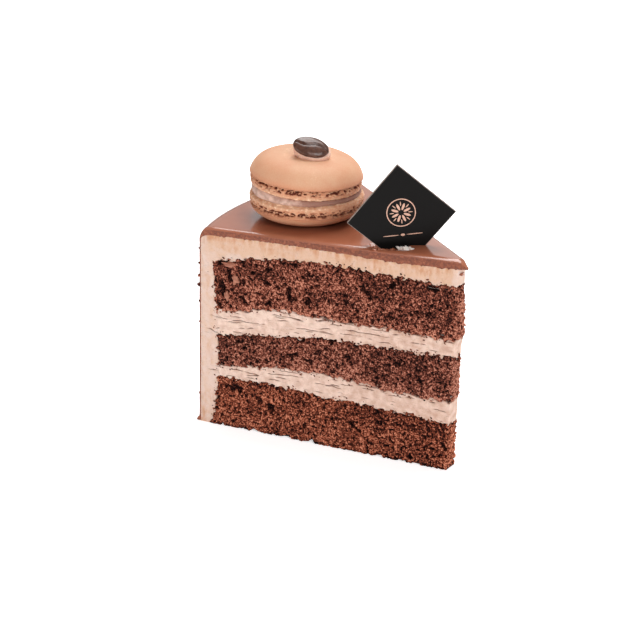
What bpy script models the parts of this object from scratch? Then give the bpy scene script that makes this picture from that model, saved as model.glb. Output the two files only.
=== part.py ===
"""A wedge of chocolate layer cake, as a cake shop serves it.

Three chocolate sponges with two cream fillings stand inside a coat of cream, and a milk chocolate
glaze lies over the coat. A macaron with a coffee bean on it and a thin square chocolate plaque
stand on the glaze. The slice is first made with its point at the origin: the shown cut lies in the
XZ plane and runs to -X, and the hidden cut runs off behind it. The whole is then moved so that the
origin is under the middle of its bounding box.
"""

import math

import bmesh
import bpy
from mathutils import Euler, Matrix, Vector, noise

MM = 0.001
GAP = 0.3 * MM

# The round cake that the slice was cut from, whose middle lies beside the point of the slice
CAKE_RADIUS = 95.0 * MM
CAKE_MIDDLE = Vector((2.3, 18.0)) * MM
CUT_ANGLE = math.radians(49.7)
GLAZE_TOP = 76.9 * MM
WALL_AT_TABLE = 97.2 * MM
WALL_LEAN = 0.05
SHOULDER_START = 86.6 * MM
SHOULDER_FOOT = 71.5 * MM
SHOULDER_SQUARENESS = 3.0

# The blunt point of the slice, as the knife left it
POINT_NEAR = Vector((-2.0, 0.0)) * MM
POINT_FAR = Vector((-0.4, 4.8)) * MM
BULGE_HEIGHT = 54.0 * MM
BULGE_REACH = 7.0 * MM
BULGE_DEPTH = 1.0 * MM

# Heights of the five layer boundaries, at even steps from the point to the cream ring
TOP_SPONGE_TOP = (67.7, 68.3, 69.2, 68.4, 64.9)
TOP_SPONGE_UNDER = (48.6, 49.5, 49.6, 49.7, 45.9)
MIDDLE_SPONGE_TOP = (42.6, 42.3, 42.0, 39.6, 36.9)
MIDDLE_SPONGE_UNDER = (26.3, 26.8, 28.2, 27.5, 24.6)
BOTTOM_SPONGE_TOP = (17.9, 19.0, 19.4, 20.5, 20.0)
TABLE = (0.0, 0.0, 0.0, 0.0, 0.0)
RAGGED_EDGE = 0.35 * MM
RAGGED_SCALE = 5.0 * MM

# Cream ring: the radius where it meets the sponge
RING_INNER = 88.2 * MM
RING_INNER_TOP = 1.0 * MM
RING_INNER_FOOT = 3.8 * MM
RING_FOOT_HEIGHT = 27.0 * MM

# Glaze
GLAZE_WALL = 0.55 * MM
GLAZE_UNDER = (74.0, 73.5, 74.1, 74.5, 74.3)
GLAZE_POINT_NEAR = Vector((1.3, 0.0)) * MM
GLAZE_POINT_FAR = Vector((1.2, 0.7)) * MM
BEAK_TOP = 74.9 * MM
BEAK_UNDER = 74.2 * MM
BEAK_LENGTH = 1.9 * MM
FOOT_FLARE = 1.3 * MM
FOOT_HEIGHT = 1.8 * MM
FOOT_CLEARANCE = 0.3 * MM

# Relief left by the knife on the two cuts
CRUMB_RELIEF = 0.6 * MM
CREAM_RELIEF = 0.15 * MM
GLAZE_RELIEF = 0.05 * MM
RELIEF_SCALE = 3.6 * MM

# Steps of the meshes
TOP_STEPS = 24
SHOULDER_STEPS = 5
WALL_STEPS = 14
TURN_STEPS = 8
SPONGE_LEVELS = 6
FILLING_LEVELS = 2

# Macaron
MACARON_CENTRE = Vector((-63.8, 25.4)) * MM
MACARON_RADIUS = 19.9 * MM
MACARON_SEGMENTS = 44
DOME_HEIGHT = 6.6 * MM
DOME_SQUARENESS = 6.4
BELLY_HEIGHT = 4.8 * MM
BELLY_SQUARENESS = 5.5
SHELL_ROUNDING = 1.6
DOME_STEPS = 7
CREVICE_DEPTH = 1.2 * MM
UPPER_FOOT = 3.6 * MM
LOWER_FOOT = 3.8 * MM
UPPER_SKIRT = -0.5 * MM
LOWER_SKIRT = 0.1 * MM
FOOT_RUFFLE = 0.45 * MM
RUFFLE_SCALE = 2.2 * MM
UPPER_RIM_HEIGHT = 15.6 * MM
UPPER_TILT = Euler((math.radians(1.2), math.radians(5.0), 0.0))
LOWER_TILT = Euler((math.radians(1.0), math.radians(1.5), 0.0))
FILLING_RADIUS = 18.7 * MM

# Coffee bean, on its dab of cream
BEAN_SIZE = Vector((12.5, 8.4, 5.6)) * MM
BEAN_CENTRE = Vector((-60.7, 21.9)) * MM
BEAN_SEGMENTS = 20
BEAN_RINGS = 12
BEAN_FLATTENING = 0.55
BEAN_CREASE_DEPTH = 0.9 * MM
BEAN_CREASE_WIDTH = 0.7 * MM
BEAN_YAW = math.radians(21.6)
BEAN_LEAN = math.radians(36.0)
BEAN_ROLL = math.radians(13.0)
BEAN_OVER_SHELL = 3.8 * MM
DAB_SIZE = Vector((14.2, 10.6, 9.0)) * MM
DAB_DROP = 2.0 * MM
DAB_RIM = 0.2 * MM

# Plaque: a thin square stood on its corner
PLAQUE_SIDE = 25.0 * MM
PLAQUE_THICKNESS = 1.0 * MM
PLAQUE_BEVEL = 0.1 * MM
PLAQUE_CENTRE = Vector((-23.3, 7.2, 86.6)) * MM
PLAQUE_TURN = Euler((math.radians(1.6), math.radians(-6.2), math.radians(21.7)), "XYZ")


def food_material(name, colour, roughness, coat=0.0):
    """A plain finish in the colour of one food."""
    material = bpy.data.materials.new(name)
    material.use_nodes = True
    shader = material.node_tree.nodes["Principled BSDF"]
    shader.inputs["Base Color"].default_value = (*colour, 1.0)
    shader.inputs["Roughness"].default_value = roughness
    shader.inputs["Metallic"].default_value = 0.0
    shader.inputs["Coat Weight"].default_value = coat
    material.diffuse_color = (*colour, 1.0)
    return material


def add_node(name, bm, material, smooth_angle=None):
    """Turns a finished bmesh into a named object with its faces out."""
    bmesh.ops.recalc_face_normals(bm, faces=bm.faces[:])
    if bm.calc_volume(signed=True) < 0.0:
        bmesh.ops.reverse_faces(bm, faces=bm.faces[:])
    mesh = bpy.data.meshes.new(name)
    bm.to_mesh(mesh)
    bm.free()
    mesh.materials.append(material)
    if smooth_angle is not None:
        mesh.shade_smooth()
        mesh.set_sharp_from_angle(angle=smooth_angle)
    node = bpy.data.objects.new(name, mesh)
    bpy.context.scene.collection.objects.link(node)
    return node


def add_cut(node, cutter):
    """Cuts one object out of another with a Boolean that stays on the object."""
    cutter.hide_render = True
    cutter.display_type = "WIRE"
    cut = node.modifiers.new("cut_by_" + cutter.name, "BOOLEAN")
    cut.operation = "DIFFERENCE"
    cut.solver = "EXACT"
    cut.object = cutter


def curve_through(heights, share):
    """The height at a share of the way along a smooth curve through evenly spaced heights."""
    place = share * (len(heights) - 1)
    i = min(int(place), len(heights) - 2)
    t = place - i
    before = heights[max(i - 1, 0)]
    start, end = heights[i], heights[i + 1]
    after = heights[min(i + 2, len(heights) - 1)]
    bend = 2 * before - 5 * start + 4 * end - after
    twist = 3 * start - before - 3 * end + after
    return (start + 0.5 * t * (end - before + t * (bend + t * twist))) * MM


def boundary(heights, radius):
    """The height of a layer boundary, ragged where the crumb meets the cream."""
    height = curve_through(heights, min(radius / RING_INNER, 1.0))
    if height == 0.0:
        return 0.0
    seed = Vector((radius / RAGGED_SCALE, heights[0], 0.5))
    return height + RAGGED_EDGE * noise.noise(seed)


def ring_inner(height):
    """The radius where the sponge ends and the cream ring starts."""
    foot = max(0.0, 1.0 - height / RING_FOOT_HEIGHT)
    top = max(0.0, height / SHOULDER_FOOT - 0.5)
    return RING_INNER + RING_INNER_FOOT * foot**1.4 + 2 * RING_INNER_TOP * top


def wall_radius(height):
    """The outer radius of the glazed wall, which leans out a little towards the table."""
    return WALL_AT_TABLE - WALL_LEAN * height


def station(step):
    """The radius of one step along the top of the slice."""
    return step * SHOULDER_START / TOP_STEPS


def shoulder(step, top, wall):
    """A point on the rounded shoulder between a top surface and a wall surface."""
    angle = 0.5 * math.pi * step / SHOULDER_STEPS
    power = 2 / SHOULDER_SQUARENESS
    radius = SHOULDER_START + (wall - SHOULDER_START) * math.sin(angle) ** power
    height = SHOULDER_FOOT + (top - SHOULDER_FOOT) * max(math.cos(angle), 0.0) ** power
    return radius, height


def rim_distance(angle):
    """How far the rim of the cake is from the point of the slice, at an angle from the shown cut."""
    beside = CAKE_MIDDLE.x * math.cos(angle) - CAKE_MIDDLE.y * math.sin(angle)
    return math.sqrt(beside * beside + CAKE_RADIUS**2 - CAKE_MIDDLE.length_squared) - beside


def slice_point(radius, height, turn, near, far):
    """The place of a radius on the shown cut and a height, at a share of the turn to the hidden cut."""
    angle = turn * CUT_ANGLE
    point = near.lerp(far, turn)
    longer = rim_distance(angle) / rim_distance(0.0)
    rim = Vector((-math.cos(angle), math.sin(angle))) * CAKE_RADIUS * longer
    flat = point + (rim - point) * (radius / CAKE_RADIUS)
    return Vector((flat.x, flat.y, height))


def knife_relief(place, turn, at_point, depth):
    """How far the surface of a cut stands out from the flat of the knife."""
    grain = noise.noise(place / RELIEF_SCALE) + 0.5 * noise.noise(place / (0.5 * RELIEF_SCALE))
    push = Vector((0.0, 0.0, 0.0))
    if turn == 0.0:
        push += Vector((0.0, -1.0, 0.0)) * depth * grain
    if turn == 1.0:
        push += Vector((math.sin(CUT_ANGLE), math.cos(CUT_ANGLE), 0.0)) * depth * grain
    if at_point:
        bulge = BULGE_DEPTH * math.exp(-(((place.z - BULGE_HEIGHT) / BULGE_REACH) ** 2))
        push += Vector((0.95, -0.31, 0.0)) * (bulge + depth * grain)
    return push


def slice_piece(name, section, along, across, depth, material, near=POINT_NEAR, far=POINT_FAR):
    """A piece that runs through the whole slice, from its section in radius and height.

    section(step, share) gives the radius and height of each point of a grid. The grid is drawn out
    from the shown cut to the hidden one and then bent round the cake.
    """
    bm = bmesh.new()
    bmesh.ops.create_grid(bm, x_segments=along, y_segments=across, size=0.5)
    cut_face = bm.faces[:]
    for turn in range(TURN_STEPS):
        drawn = bmesh.ops.extrude_face_region(bm, geom=cut_face)["geom"]
        if turn > 0:
            bmesh.ops.delete(bm, geom=cut_face, context="FACES")
        cut_face = [part for part in drawn if isinstance(part, bmesh.types.BMFace)]
        moved = [part for part in drawn if isinstance(part, bmesh.types.BMVert)]
        bmesh.ops.translate(bm, verts=moved, vec=(0.0, 0.0, 1.0))
    for vert in bm.verts:
        step = round((vert.co.x + 0.5) * along)
        turn = round(vert.co.z) / TURN_STEPS
        radius, height = section(step, vert.co.y + 0.5)
        place = slice_point(radius, height, turn, near, far)
        vert.co = place + knife_relief(place, turn, step == 0, depth)
    return add_node(name, bm, material)


def layer(name, under, over, levels, depth, material):
    """A sponge or a filling between two layer boundaries, out to the cream ring."""
    steps = TOP_STEPS + 1

    def section(step, share):
        radius = min(station(step), RING_INNER)
        low = boundary(under, radius) + (0.0 if under is TABLE else GAP / 2)
        high = boundary(over, radius) - GAP / 2
        height = low + (high - low) * share
        if step == steps:
            radius = ring_inner(height) - GAP / 2
        return radius, height

    return slice_piece(name, section, steps, levels, depth, material)


def coat(name, material):
    """The cream over the top sponge and round the outside of the cake, in one piece."""
    wall_start = TOP_STEPS + SHOULDER_STEPS
    steps = wall_start + WALL_STEPS

    def outside(step):
        if step <= TOP_STEPS:
            return station(step), glaze_under(station(step)) - GAP
        if step <= wall_start:
            wall = wall_radius(SHOULDER_FOOT) - GLAZE_WALL - GAP
            return shoulder(step - TOP_STEPS, glaze_under(SHOULDER_START) - GAP, wall)
        height = SHOULDER_FOOT * (steps - step) / WALL_STEPS
        return wall_radius(height) - GLAZE_WALL - GAP, height

    def inside(step):
        if step <= TOP_STEPS:
            return station(step), boundary(TOP_SPONGE_TOP, station(step)) + GAP / 2
        corner = boundary(TOP_SPONGE_TOP, RING_INNER) + GAP / 2
        height = corner * (steps - step) / (steps - TOP_STEPS - 1)
        return ring_inner(height) + GAP / 2, height

    def section(step, share):
        inner, outer = Vector(inside(step)), Vector(outside(step))
        return inner.lerp(outer, share)

    return slice_piece(name, section, steps, FILLING_LEVELS, CREAM_RELIEF, material)


def glaze_under(radius):
    """The height of the underside of the glaze on the top of the cake."""
    return curve_through(GLAZE_UNDER, min(radius / RING_INNER, 1.0))


def glaze(name, material):
    """The poured glaze: thick on the top, thin down the wall, with a small foot on the table."""
    beak_steps = 1
    top_end = TOP_STEPS + beak_steps
    wall_start = top_end + SHOULDER_STEPS
    wall_end = wall_start + WALL_STEPS
    foot_steps = 2
    steps = wall_end + foot_steps
    foot_top = FOOT_CLEARANCE + FOOT_HEIGHT

    def top_radius(step):
        if step == beak_steps:
            return BEAK_LENGTH
        return station(step - beak_steps)

    def outside(step):
        if step == 0:
            return 0.0, BEAK_TOP
        if step <= top_end:
            return top_radius(step), GLAZE_TOP
        if step <= wall_start:
            return shoulder(step - top_end, GLAZE_TOP, wall_radius(SHOULDER_FOOT))
        height, flare = wall_place(step)
        return wall_radius(height) + flare, height

    def inside(step):
        if step == 0:
            return 0.0, BEAK_UNDER
        if step <= top_end:
            return top_radius(step), glaze_under(top_radius(step))
        if step <= wall_start:
            wall = wall_radius(SHOULDER_FOOT) - GLAZE_WALL
            return shoulder(step - top_end, glaze_under(SHOULDER_START), wall)
        height, _ = wall_place(step)
        return wall_radius(height) - GLAZE_WALL, height

    def wall_place(step):
        if step <= wall_end:
            fall = (step - wall_start) / WALL_STEPS
            return SHOULDER_FOOT + (foot_top - SHOULDER_FOOT) * fall, 0.0
        fall = (step - wall_end) / foot_steps
        return foot_top - FOOT_HEIGHT * fall, FOOT_FLARE * fall**0.5

    def section(step, share):
        inner, outer = Vector(inside(step)), Vector(outside(step))
        return inner.lerp(outer, share)

    return slice_piece(
        name, section, steps, 1, GLAZE_RELIEF, material, GLAZE_POINT_NEAR, GLAZE_POINT_FAR
    )


def shell_profile(rise, squareness, foot, skirt):
    """The half outline of a macaron shell: a flat-topped dome, a crevice and a bulging foot."""
    points = []
    for step in range(DOME_STEPS + 1):
        angle = 0.5 * math.pi * step / DOME_STEPS
        radius = MACARON_RADIUS * math.sin(angle) ** (2 / squareness)
        points.append((radius, rise * max(math.cos(angle), 0.0) ** SHELL_ROUNDING))
    points.append((MACARON_RADIUS - CREVICE_DEPTH, -0.2 * foot))
    points.append((MACARON_RADIUS + skirt, -0.45 * foot))
    points.append((MACARON_RADIUS + skirt, -0.8 * foot))
    points.append((MACARON_RADIUS - CREVICE_DEPTH, -foot))
    points.append((0.0, -foot))
    return points


def macaron_shell(name, rise, squareness, foot, skirt, seed, material):
    """A shell turned from its profile, with a ruffled foot. Its rim lies at height 0."""
    bm = bmesh.new()
    profile = shell_profile(rise, squareness, foot, skirt)
    verts = [bm.verts.new((radius, 0.0, height)) for radius, height in profile]
    edges = [bm.edges.new(pair) for pair in zip(verts, verts[1:])]
    bmesh.ops.spin(
        bm,
        geom=verts + edges,
        cent=(0.0, 0.0, 0.0),
        axis=(0.0, 0.0, 1.0),
        angle=2 * math.pi,
        steps=MACARON_SEGMENTS,
        use_merge=True,
    )
    bmesh.ops.remove_doubles(bm, verts=bm.verts[:], dist=0.01 * MM)
    for vert in bm.verts:
        in_foot = -0.95 * foot < vert.co.z < -0.05 * foot
        if in_foot and vert.co.xy.length > 0.5 * MACARON_RADIUS:
            place = vert.co / RUFFLE_SCALE + Vector((seed, 0.0, 0.0))
            out = vert.co.xy.normalized() * FOOT_RUFFLE * noise.noise(place)
            vert.co += Vector((out.x, out.y, 0.0))
    return add_node(name, bm, material, math.radians(50))


def lowest(node, turn):
    """The lowest height of a node's mesh after a turn about its origin."""
    return min((turn @ vert.co).z for vert in node.data.vertices)


def bean_mesh(grow):
    """A roasted bean, grown by a little all round: an oval with a flatter side that faces +Z."""
    bm = bmesh.new()
    half = BEAN_SIZE / 2 + Vector((grow, grow, grow))
    bmesh.ops.create_uvsphere(bm, u_segments=BEAN_SEGMENTS, v_segments=BEAN_RINGS, radius=1.0)
    bmesh.ops.rotate(bm, verts=bm.verts[:], matrix=Matrix.Rotation(math.pi / 2, 3, "Y"))
    for vert in bm.verts:
        if vert.co.z > 0:
            vert.co.z *= BEAN_FLATTENING
        vert.co = Vector(a * b for a, b in zip(vert.co, half))
    return bm


def bean(name, material):
    """The bean with its crease pressed in along the flat side."""
    bm = bean_mesh(0.0)
    for vert in bm.verts:
        if vert.co.z > 0:
            away = vert.co.y / BEAN_CREASE_WIDTH
            vert.co.z -= BEAN_CREASE_DEPTH * math.exp(-away * away)
    return add_node(name, bm, material, math.radians(60))


def clear_scene():
    for old in list(bpy.data.objects):
        bpy.data.objects.remove(old)


def centre_on_box(nodes, frame):
    """Moves the frame so that the origin is under the middle of the nodes' bounding box."""
    bpy.context.view_layer.update()
    graph = bpy.context.evaluated_depsgraph_get()
    corners = []
    for node in nodes:
        shown = node.evaluated_get(graph)
        corners += [shown.matrix_world @ vert.co for vert in shown.data.vertices]
    for axis in range(2):
        values = [corner[axis] for corner in corners]
        frame.location[axis] = -0.5 * (min(values) + max(values))


clear_scene()

crumb_low = food_material("crumb_bottom", (0.115, 0.042, 0.027), 0.95)
crumb_middle = food_material("crumb_middle", (0.10, 0.038, 0.026), 0.95)
crumb_top = food_material("crumb_top", (0.095, 0.036, 0.025), 0.95)
filling_cream = food_material("filling_cream", (0.60, 0.40, 0.33), 0.75)
coat_cream = food_material("coat_cream", (0.62, 0.40, 0.31), 0.75)
milk_glaze = food_material("milk_chocolate_glaze", (0.20, 0.075, 0.045), 0.18, 0.6)
shell_tan = food_material("macaron_shell", (0.55, 0.29, 0.17), 0.7)
macaron_cream = food_material("macaron_cream", (0.50, 0.31, 0.26), 0.6)
dab_cream = food_material("dab_cream", (0.62, 0.42, 0.34), 0.55)
roasted_bean = food_material("roasted_bean", (0.025, 0.012, 0.010), 0.25, 0.3)
dark_plaque = food_material("dark_chocolate_plaque", (0.010, 0.009, 0.009), 0.3)

# Layers of the cake, from the table up
nodes = [
    layer("sponge_bottom", TABLE, BOTTOM_SPONGE_TOP, SPONGE_LEVELS, CRUMB_RELIEF, crumb_low),
    layer(
        "cream_lower",
        BOTTOM_SPONGE_TOP,
        MIDDLE_SPONGE_UNDER,
        FILLING_LEVELS,
        CREAM_RELIEF,
        filling_cream,
    ),
    layer(
        "sponge_middle",
        MIDDLE_SPONGE_UNDER,
        MIDDLE_SPONGE_TOP,
        SPONGE_LEVELS,
        CRUMB_RELIEF,
        crumb_middle,
    ),
    layer(
        "cream_upper",
        MIDDLE_SPONGE_TOP,
        TOP_SPONGE_UNDER,
        FILLING_LEVELS,
        CREAM_RELIEF,
        filling_cream,
    ),
    layer(
        "sponge_top",
        TOP_SPONGE_UNDER,
        TOP_SPONGE_TOP,
        SPONGE_LEVELS,
        CRUMB_RELIEF,
        crumb_top,
    ),
]
cream_coat = coat("cream_coat", coat_cream)
glaze_coat = glaze("glaze", milk_glaze)

# Macaron: the lower shell lies on its back on the glaze, and the upper one leans on the filling
lower = macaron_shell(
    "macaron_shell_lower", BELLY_HEIGHT, BELLY_SQUARENESS, LOWER_FOOT, LOWER_SKIRT, 3.0, shell_tan
)
turned_over = LOWER_TILT.to_matrix() @ Matrix.Rotation(math.pi, 3, "X")
lower_rim = GLAZE_TOP + GAP - lowest(lower, turned_over)
lower.matrix_world = Matrix.Translation((*MACARON_CENTRE, lower_rim)) @ turned_over.to_4x4()

upper = macaron_shell(
    "macaron_shell_upper", DOME_HEIGHT, DOME_SQUARENESS, UPPER_FOOT, UPPER_SKIRT, 11.0, shell_tan
)
upper_rim = GLAZE_TOP + UPPER_RIM_HEIGHT
upper.matrix_world = (
    Matrix.Translation((*MACARON_CENTRE, upper_rim)) @ UPPER_TILT.to_matrix().to_4x4()
)


def shell_plane(rim, tilt, lift, across):
    """The height of a tilted shell's flat face at a place across from the macaron's centre."""
    normal = tilt.to_matrix() @ Vector((0.0, 0.0, 1.0))
    start = normal * lift
    slope = ((across.x - start.x) * normal.x + (across.y - start.y) * normal.y) / normal.z
    return rim + start.z - slope


bm = bmesh.new()
bmesh.ops.create_cone(
    bm,
    cap_ends=True,
    segments=MACARON_SEGMENTS,
    radius1=FILLING_RADIUS,
    radius2=FILLING_RADIUS,
    depth=1.0,
)
for vert in bm.verts:
    if vert.co.z > 0:
        vert.co.z = shell_plane(upper_rim, UPPER_TILT, -UPPER_FOOT, vert.co.xy) - GAP
    else:
        vert.co.z = shell_plane(lower_rim, LOWER_TILT, LOWER_FOOT, vert.co.xy) + GAP
bmesh.ops.translate(bm, verts=bm.verts[:], vec=(*MACARON_CENTRE, 0.0))
filling = add_node("macaron_filling", bm, macaron_cream, math.radians(50))

# Coffee bean, laid in a dab of cream on the upper shell
bean_turn = Euler((BEAN_LEAN, BEAN_ROLL, BEAN_YAW), "XYZ").to_matrix().to_4x4()
bean_across = BEAN_CENTRE - MACARON_CENTRE
shell_top = shell_plane(upper_rim, UPPER_TILT, DOME_HEIGHT, bean_across)
bean_place = Matrix.Translation((*BEAN_CENTRE, shell_top + BEAN_OVER_SHELL))
coffee_bean = bean("coffee_bean", roasted_bean)
coffee_bean.matrix_world = bean_place @ bean_turn
bean_hollow = add_node("bean_hollow", bean_mesh(GAP), roasted_bean)
bean_hollow.matrix_world = bean_place @ bean_turn


def slice_off(bm, place, normal):
    """Cuts away what lies beyond a plane and closes the cut with a flat face."""
    everything = bm.verts[:] + bm.edges[:] + bm.faces[:]
    cut = bmesh.ops.bisect_plane(
        bm, geom=everything, plane_co=place, plane_no=normal, clear_outer=True
    )
    edges = [part for part in cut["geom_cut"] if isinstance(part, bmesh.types.BMEdge)]
    bmesh.ops.holes_fill(bm, edges=edges)


# The dab cups the back of the bean: cut flat at the bean's edge and where it sits on the shell
bean_out = bean_turn.to_3x3() @ Vector((0.0, 0.0, 1.0))
bean_middle = bean_place.translation
bm = bmesh.new()
bmesh.ops.create_uvsphere(bm, u_segments=24, v_segments=14, radius=0.5)
bmesh.ops.scale(bm, verts=bm.verts[:], vec=DAB_SIZE)
bmesh.ops.rotate(bm, verts=bm.verts[:], matrix=bean_turn.to_3x3())
bmesh.ops.translate(bm, verts=bm.verts[:], vec=bean_middle - bean_out * DAB_DROP)
slice_off(bm, bean_middle + bean_out * DAB_RIM, bean_out)
shell_down = UPPER_TILT.to_matrix() @ Vector((0.0, 0.0, -1.0))
slice_off(bm, (*BEAN_CENTRE, shell_top + GAP), shell_down)
bean_dab = add_node("bean_dab", bm, dab_cream, math.radians(50))
add_cut(bean_dab, bean_hollow)

# Plaque, pushed through the glaze into the cream on its lower corner
bm = bmesh.new()
bmesh.ops.create_cube(bm, size=1.0)
bmesh.ops.scale(bm, verts=bm.verts[:], vec=(PLAQUE_SIDE, PLAQUE_THICKNESS, PLAQUE_SIDE))
bmesh.ops.bevel(
    bm,
    geom=bm.edges[:],
    offset=PLAQUE_BEVEL,
    segments=1,
    profile=0.5,
    affect="EDGES",
    material=-1,
)
on_corner = Matrix.Rotation(math.pi / 4, 3, "Y")
bmesh.ops.rotate(bm, verts=bm.verts[:], matrix=on_corner)
plaque = add_node("plaque", bm, dark_plaque)
bm = bmesh.new()
bmesh.ops.create_cube(bm, size=1.0)
slot = (PLAQUE_SIDE + 2 * GAP, PLAQUE_THICKNESS + 2 * GAP, PLAQUE_SIDE + 2 * GAP)
bmesh.ops.scale(bm, verts=bm.verts[:], vec=slot)
bmesh.ops.rotate(bm, verts=bm.verts[:], matrix=on_corner)
plaque_slot = add_node("plaque_slot", bm, dark_plaque)
for piece in (plaque, plaque_slot):
    piece.location = PLAQUE_CENTRE
    piece.rotation_euler = PLAQUE_TURN
add_cut(cream_coat, plaque_slot)
add_cut(glaze_coat, plaque_slot)

# Everything hangs on one frame, which puts the origin under the middle of the box
nodes += [cream_coat, glaze_coat, lower, filling, upper, bean_dab, coffee_bean, plaque]
slice_frame = bpy.data.objects.new("slice_frame", None)
bpy.context.scene.collection.objects.link(slice_frame)
centre_on_box(nodes, slice_frame)
for piece in nodes + [bean_hollow, plaque_slot]:
    piece.parent = slice_frame
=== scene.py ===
import math

import bmesh
import bpy
from mathutils import Euler, Matrix, Vector, noise


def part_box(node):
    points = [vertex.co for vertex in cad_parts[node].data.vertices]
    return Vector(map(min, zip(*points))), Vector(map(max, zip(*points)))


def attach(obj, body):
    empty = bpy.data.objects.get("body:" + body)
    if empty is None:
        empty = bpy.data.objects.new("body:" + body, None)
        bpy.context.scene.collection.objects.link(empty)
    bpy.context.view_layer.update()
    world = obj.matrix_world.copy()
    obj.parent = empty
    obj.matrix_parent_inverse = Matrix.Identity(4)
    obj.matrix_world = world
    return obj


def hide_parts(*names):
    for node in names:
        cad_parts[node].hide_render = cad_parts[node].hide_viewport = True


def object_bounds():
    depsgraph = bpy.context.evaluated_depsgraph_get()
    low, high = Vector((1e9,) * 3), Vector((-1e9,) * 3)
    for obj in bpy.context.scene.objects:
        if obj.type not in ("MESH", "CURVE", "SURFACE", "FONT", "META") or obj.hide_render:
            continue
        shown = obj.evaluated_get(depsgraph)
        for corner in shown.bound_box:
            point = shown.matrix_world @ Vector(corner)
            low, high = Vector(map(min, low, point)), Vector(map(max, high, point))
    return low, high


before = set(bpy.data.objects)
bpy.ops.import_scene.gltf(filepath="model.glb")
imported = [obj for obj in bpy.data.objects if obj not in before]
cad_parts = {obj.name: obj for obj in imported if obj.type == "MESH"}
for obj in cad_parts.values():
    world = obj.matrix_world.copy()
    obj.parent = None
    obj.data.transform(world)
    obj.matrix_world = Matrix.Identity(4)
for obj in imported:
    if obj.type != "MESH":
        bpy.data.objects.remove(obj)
cad_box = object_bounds()

# Sponges
# Three chocolate sponges, baked, torn a little by the knife and open on both cuts. Each is a slab
# that runs through the slice. Its grains are pressed in and out of the flat of the cut, and its
# edges sink behind the cream, so that the border is as ragged as crumbs are.
MM = 0.001
CAKE_RADIUS = 95.0
CAKE_MIDDLE = Vector((2.3, 18.0))
CUT_ANGLE = math.radians(49.7)
POINT_NEAR = Vector((-2.0, 0.0))
POINT_FAR = Vector((-0.4, 4.8))
POINT_FACING = Vector((0.95, -0.31, 0.0))
SHOWN_FACING = Vector((0.0, -1.0, 0.0))
HIDDEN_FACING = Vector((math.sin(CUT_ANGLE), math.cos(CUT_ANGLE), 0.0))
ON_A_CUT = 1e-4
BULGE_HEIGHT = 54.0
BULGE_REACH = 7.0
BULGE_DEPTH = 1.0
TOP_SPONGE_TOP = (67.7, 68.3, 69.2, 68.4, 64.9)
TOP_SPONGE_UNDER = (48.6, 49.5, 49.6, 49.7, 45.9)
MIDDLE_SPONGE_TOP = (42.6, 42.3, 42.0, 39.6, 36.9)
MIDDLE_SPONGE_UNDER = (26.3, 26.8, 28.2, 27.5, 24.6)
BOTTOM_SPONGE_TOP = (17.9, 19.0, 19.4, 20.5, 20.0)
TABLE = (0.0, 0.0, 0.0, 0.0, 0.0)
WAVE_HEIGHT = 0.35
WAVE_LENGTH = 5.0
RING_INNER = 88.2
RING_INNER_TOP = 1.0
RING_TOP_START = 0.5
RING_INNER_FOOT = 3.8
RING_FOOT_HEIGHT = 27.0
RING_FOOT_CURVE = 1.4
SHOULDER_FOOT = 71.5
EDGE_REACH = 1.5
EDGE_BLEND = 0.6
TABLE_REACH = 0.9
CRUMB_SINK = 1.1
CRUMB_SPACING = 0.245
CRUMB_TURNS = 18
MACARON_CENTRE = Vector((-63.8, 25.4))

filling_low, filling_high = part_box("macaron_filling")
POINT_IN_FRAME = (filling_low + filling_high) / 2 - MACARON_CENTRE.to_3d() * MM
POINT_IN_FRAME.z = 0.0


def curve_through(heights, share):
    """The height at a share of the way along a smooth curve through evenly spaced heights."""
    place = share * (len(heights) - 1)
    i = min(int(place), len(heights) - 2)
    t = place - i
    before = heights[max(i - 1, 0)]
    start, end = heights[i], heights[i + 1]
    after = heights[min(i + 2, len(heights) - 1)]
    bend = 2 * before - 5 * start + 4 * end - after
    twist = 3 * start - before - 3 * end + after
    return start + 0.5 * t * (end - before + t * (bend + t * twist))


def boundary(heights, radius):
    """The height of a layer boundary, which waves a little along the cut."""
    if heights is TABLE:
        return 0.0
    height = curve_through(heights, min(radius / RING_INNER, 1.0))
    return height + WAVE_HEIGHT * noise.noise(Vector((radius / WAVE_LENGTH, heights[0], 0.5)))


def ring_inner(height):
    """The radius where the sponge ends and the cream ring starts."""
    foot = max(0.0, 1.0 - height / RING_FOOT_HEIGHT)
    top = max(0.0, height / SHOULDER_FOOT - RING_TOP_START) / (1 - RING_TOP_START)
    return RING_INNER + RING_INNER_FOOT * foot**RING_FOOT_CURVE + RING_INNER_TOP * top


def rim_distance(angle):
    """How far the rim of the cake is from the point of the slice, at an angle from the shown cut."""
    beside = CAKE_MIDDLE.x * math.cos(angle) - CAKE_MIDDLE.y * math.sin(angle)
    return math.sqrt(beside * beside + CAKE_RADIUS**2 - CAKE_MIDDLE.length_squared) - beside


def slice_point(radius, height, turn, near=POINT_NEAR, far=POINT_FAR):
    """The place of a radius on the shown cut and a height, at a share of the turn to the hidden cut."""
    angle = turn * CUT_ANGLE
    point = near.lerp(far, turn)
    longer = rim_distance(angle) / rim_distance(0.0)
    rim = Vector((-math.cos(angle), math.sin(angle))) * CAKE_RADIUS * longer
    flat = point + (rim - point) * (radius / CAKE_RADIUS)
    return Vector((flat.x, flat.y, height))


def smooth_step(low, high, value):
    """A smooth rise from 0 to 1 as a value goes from one bound to the other."""
    share = min(max((value - low) / (high - low), 0.0), 1.0)
    return share * share * (3 - 2 * share)


def fade(change, value):
    """The part of an amount that a value brings in. A change is the amount and its two bounds."""
    amount, start, end = change
    return amount * smooth_step(start, end, value)


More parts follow.
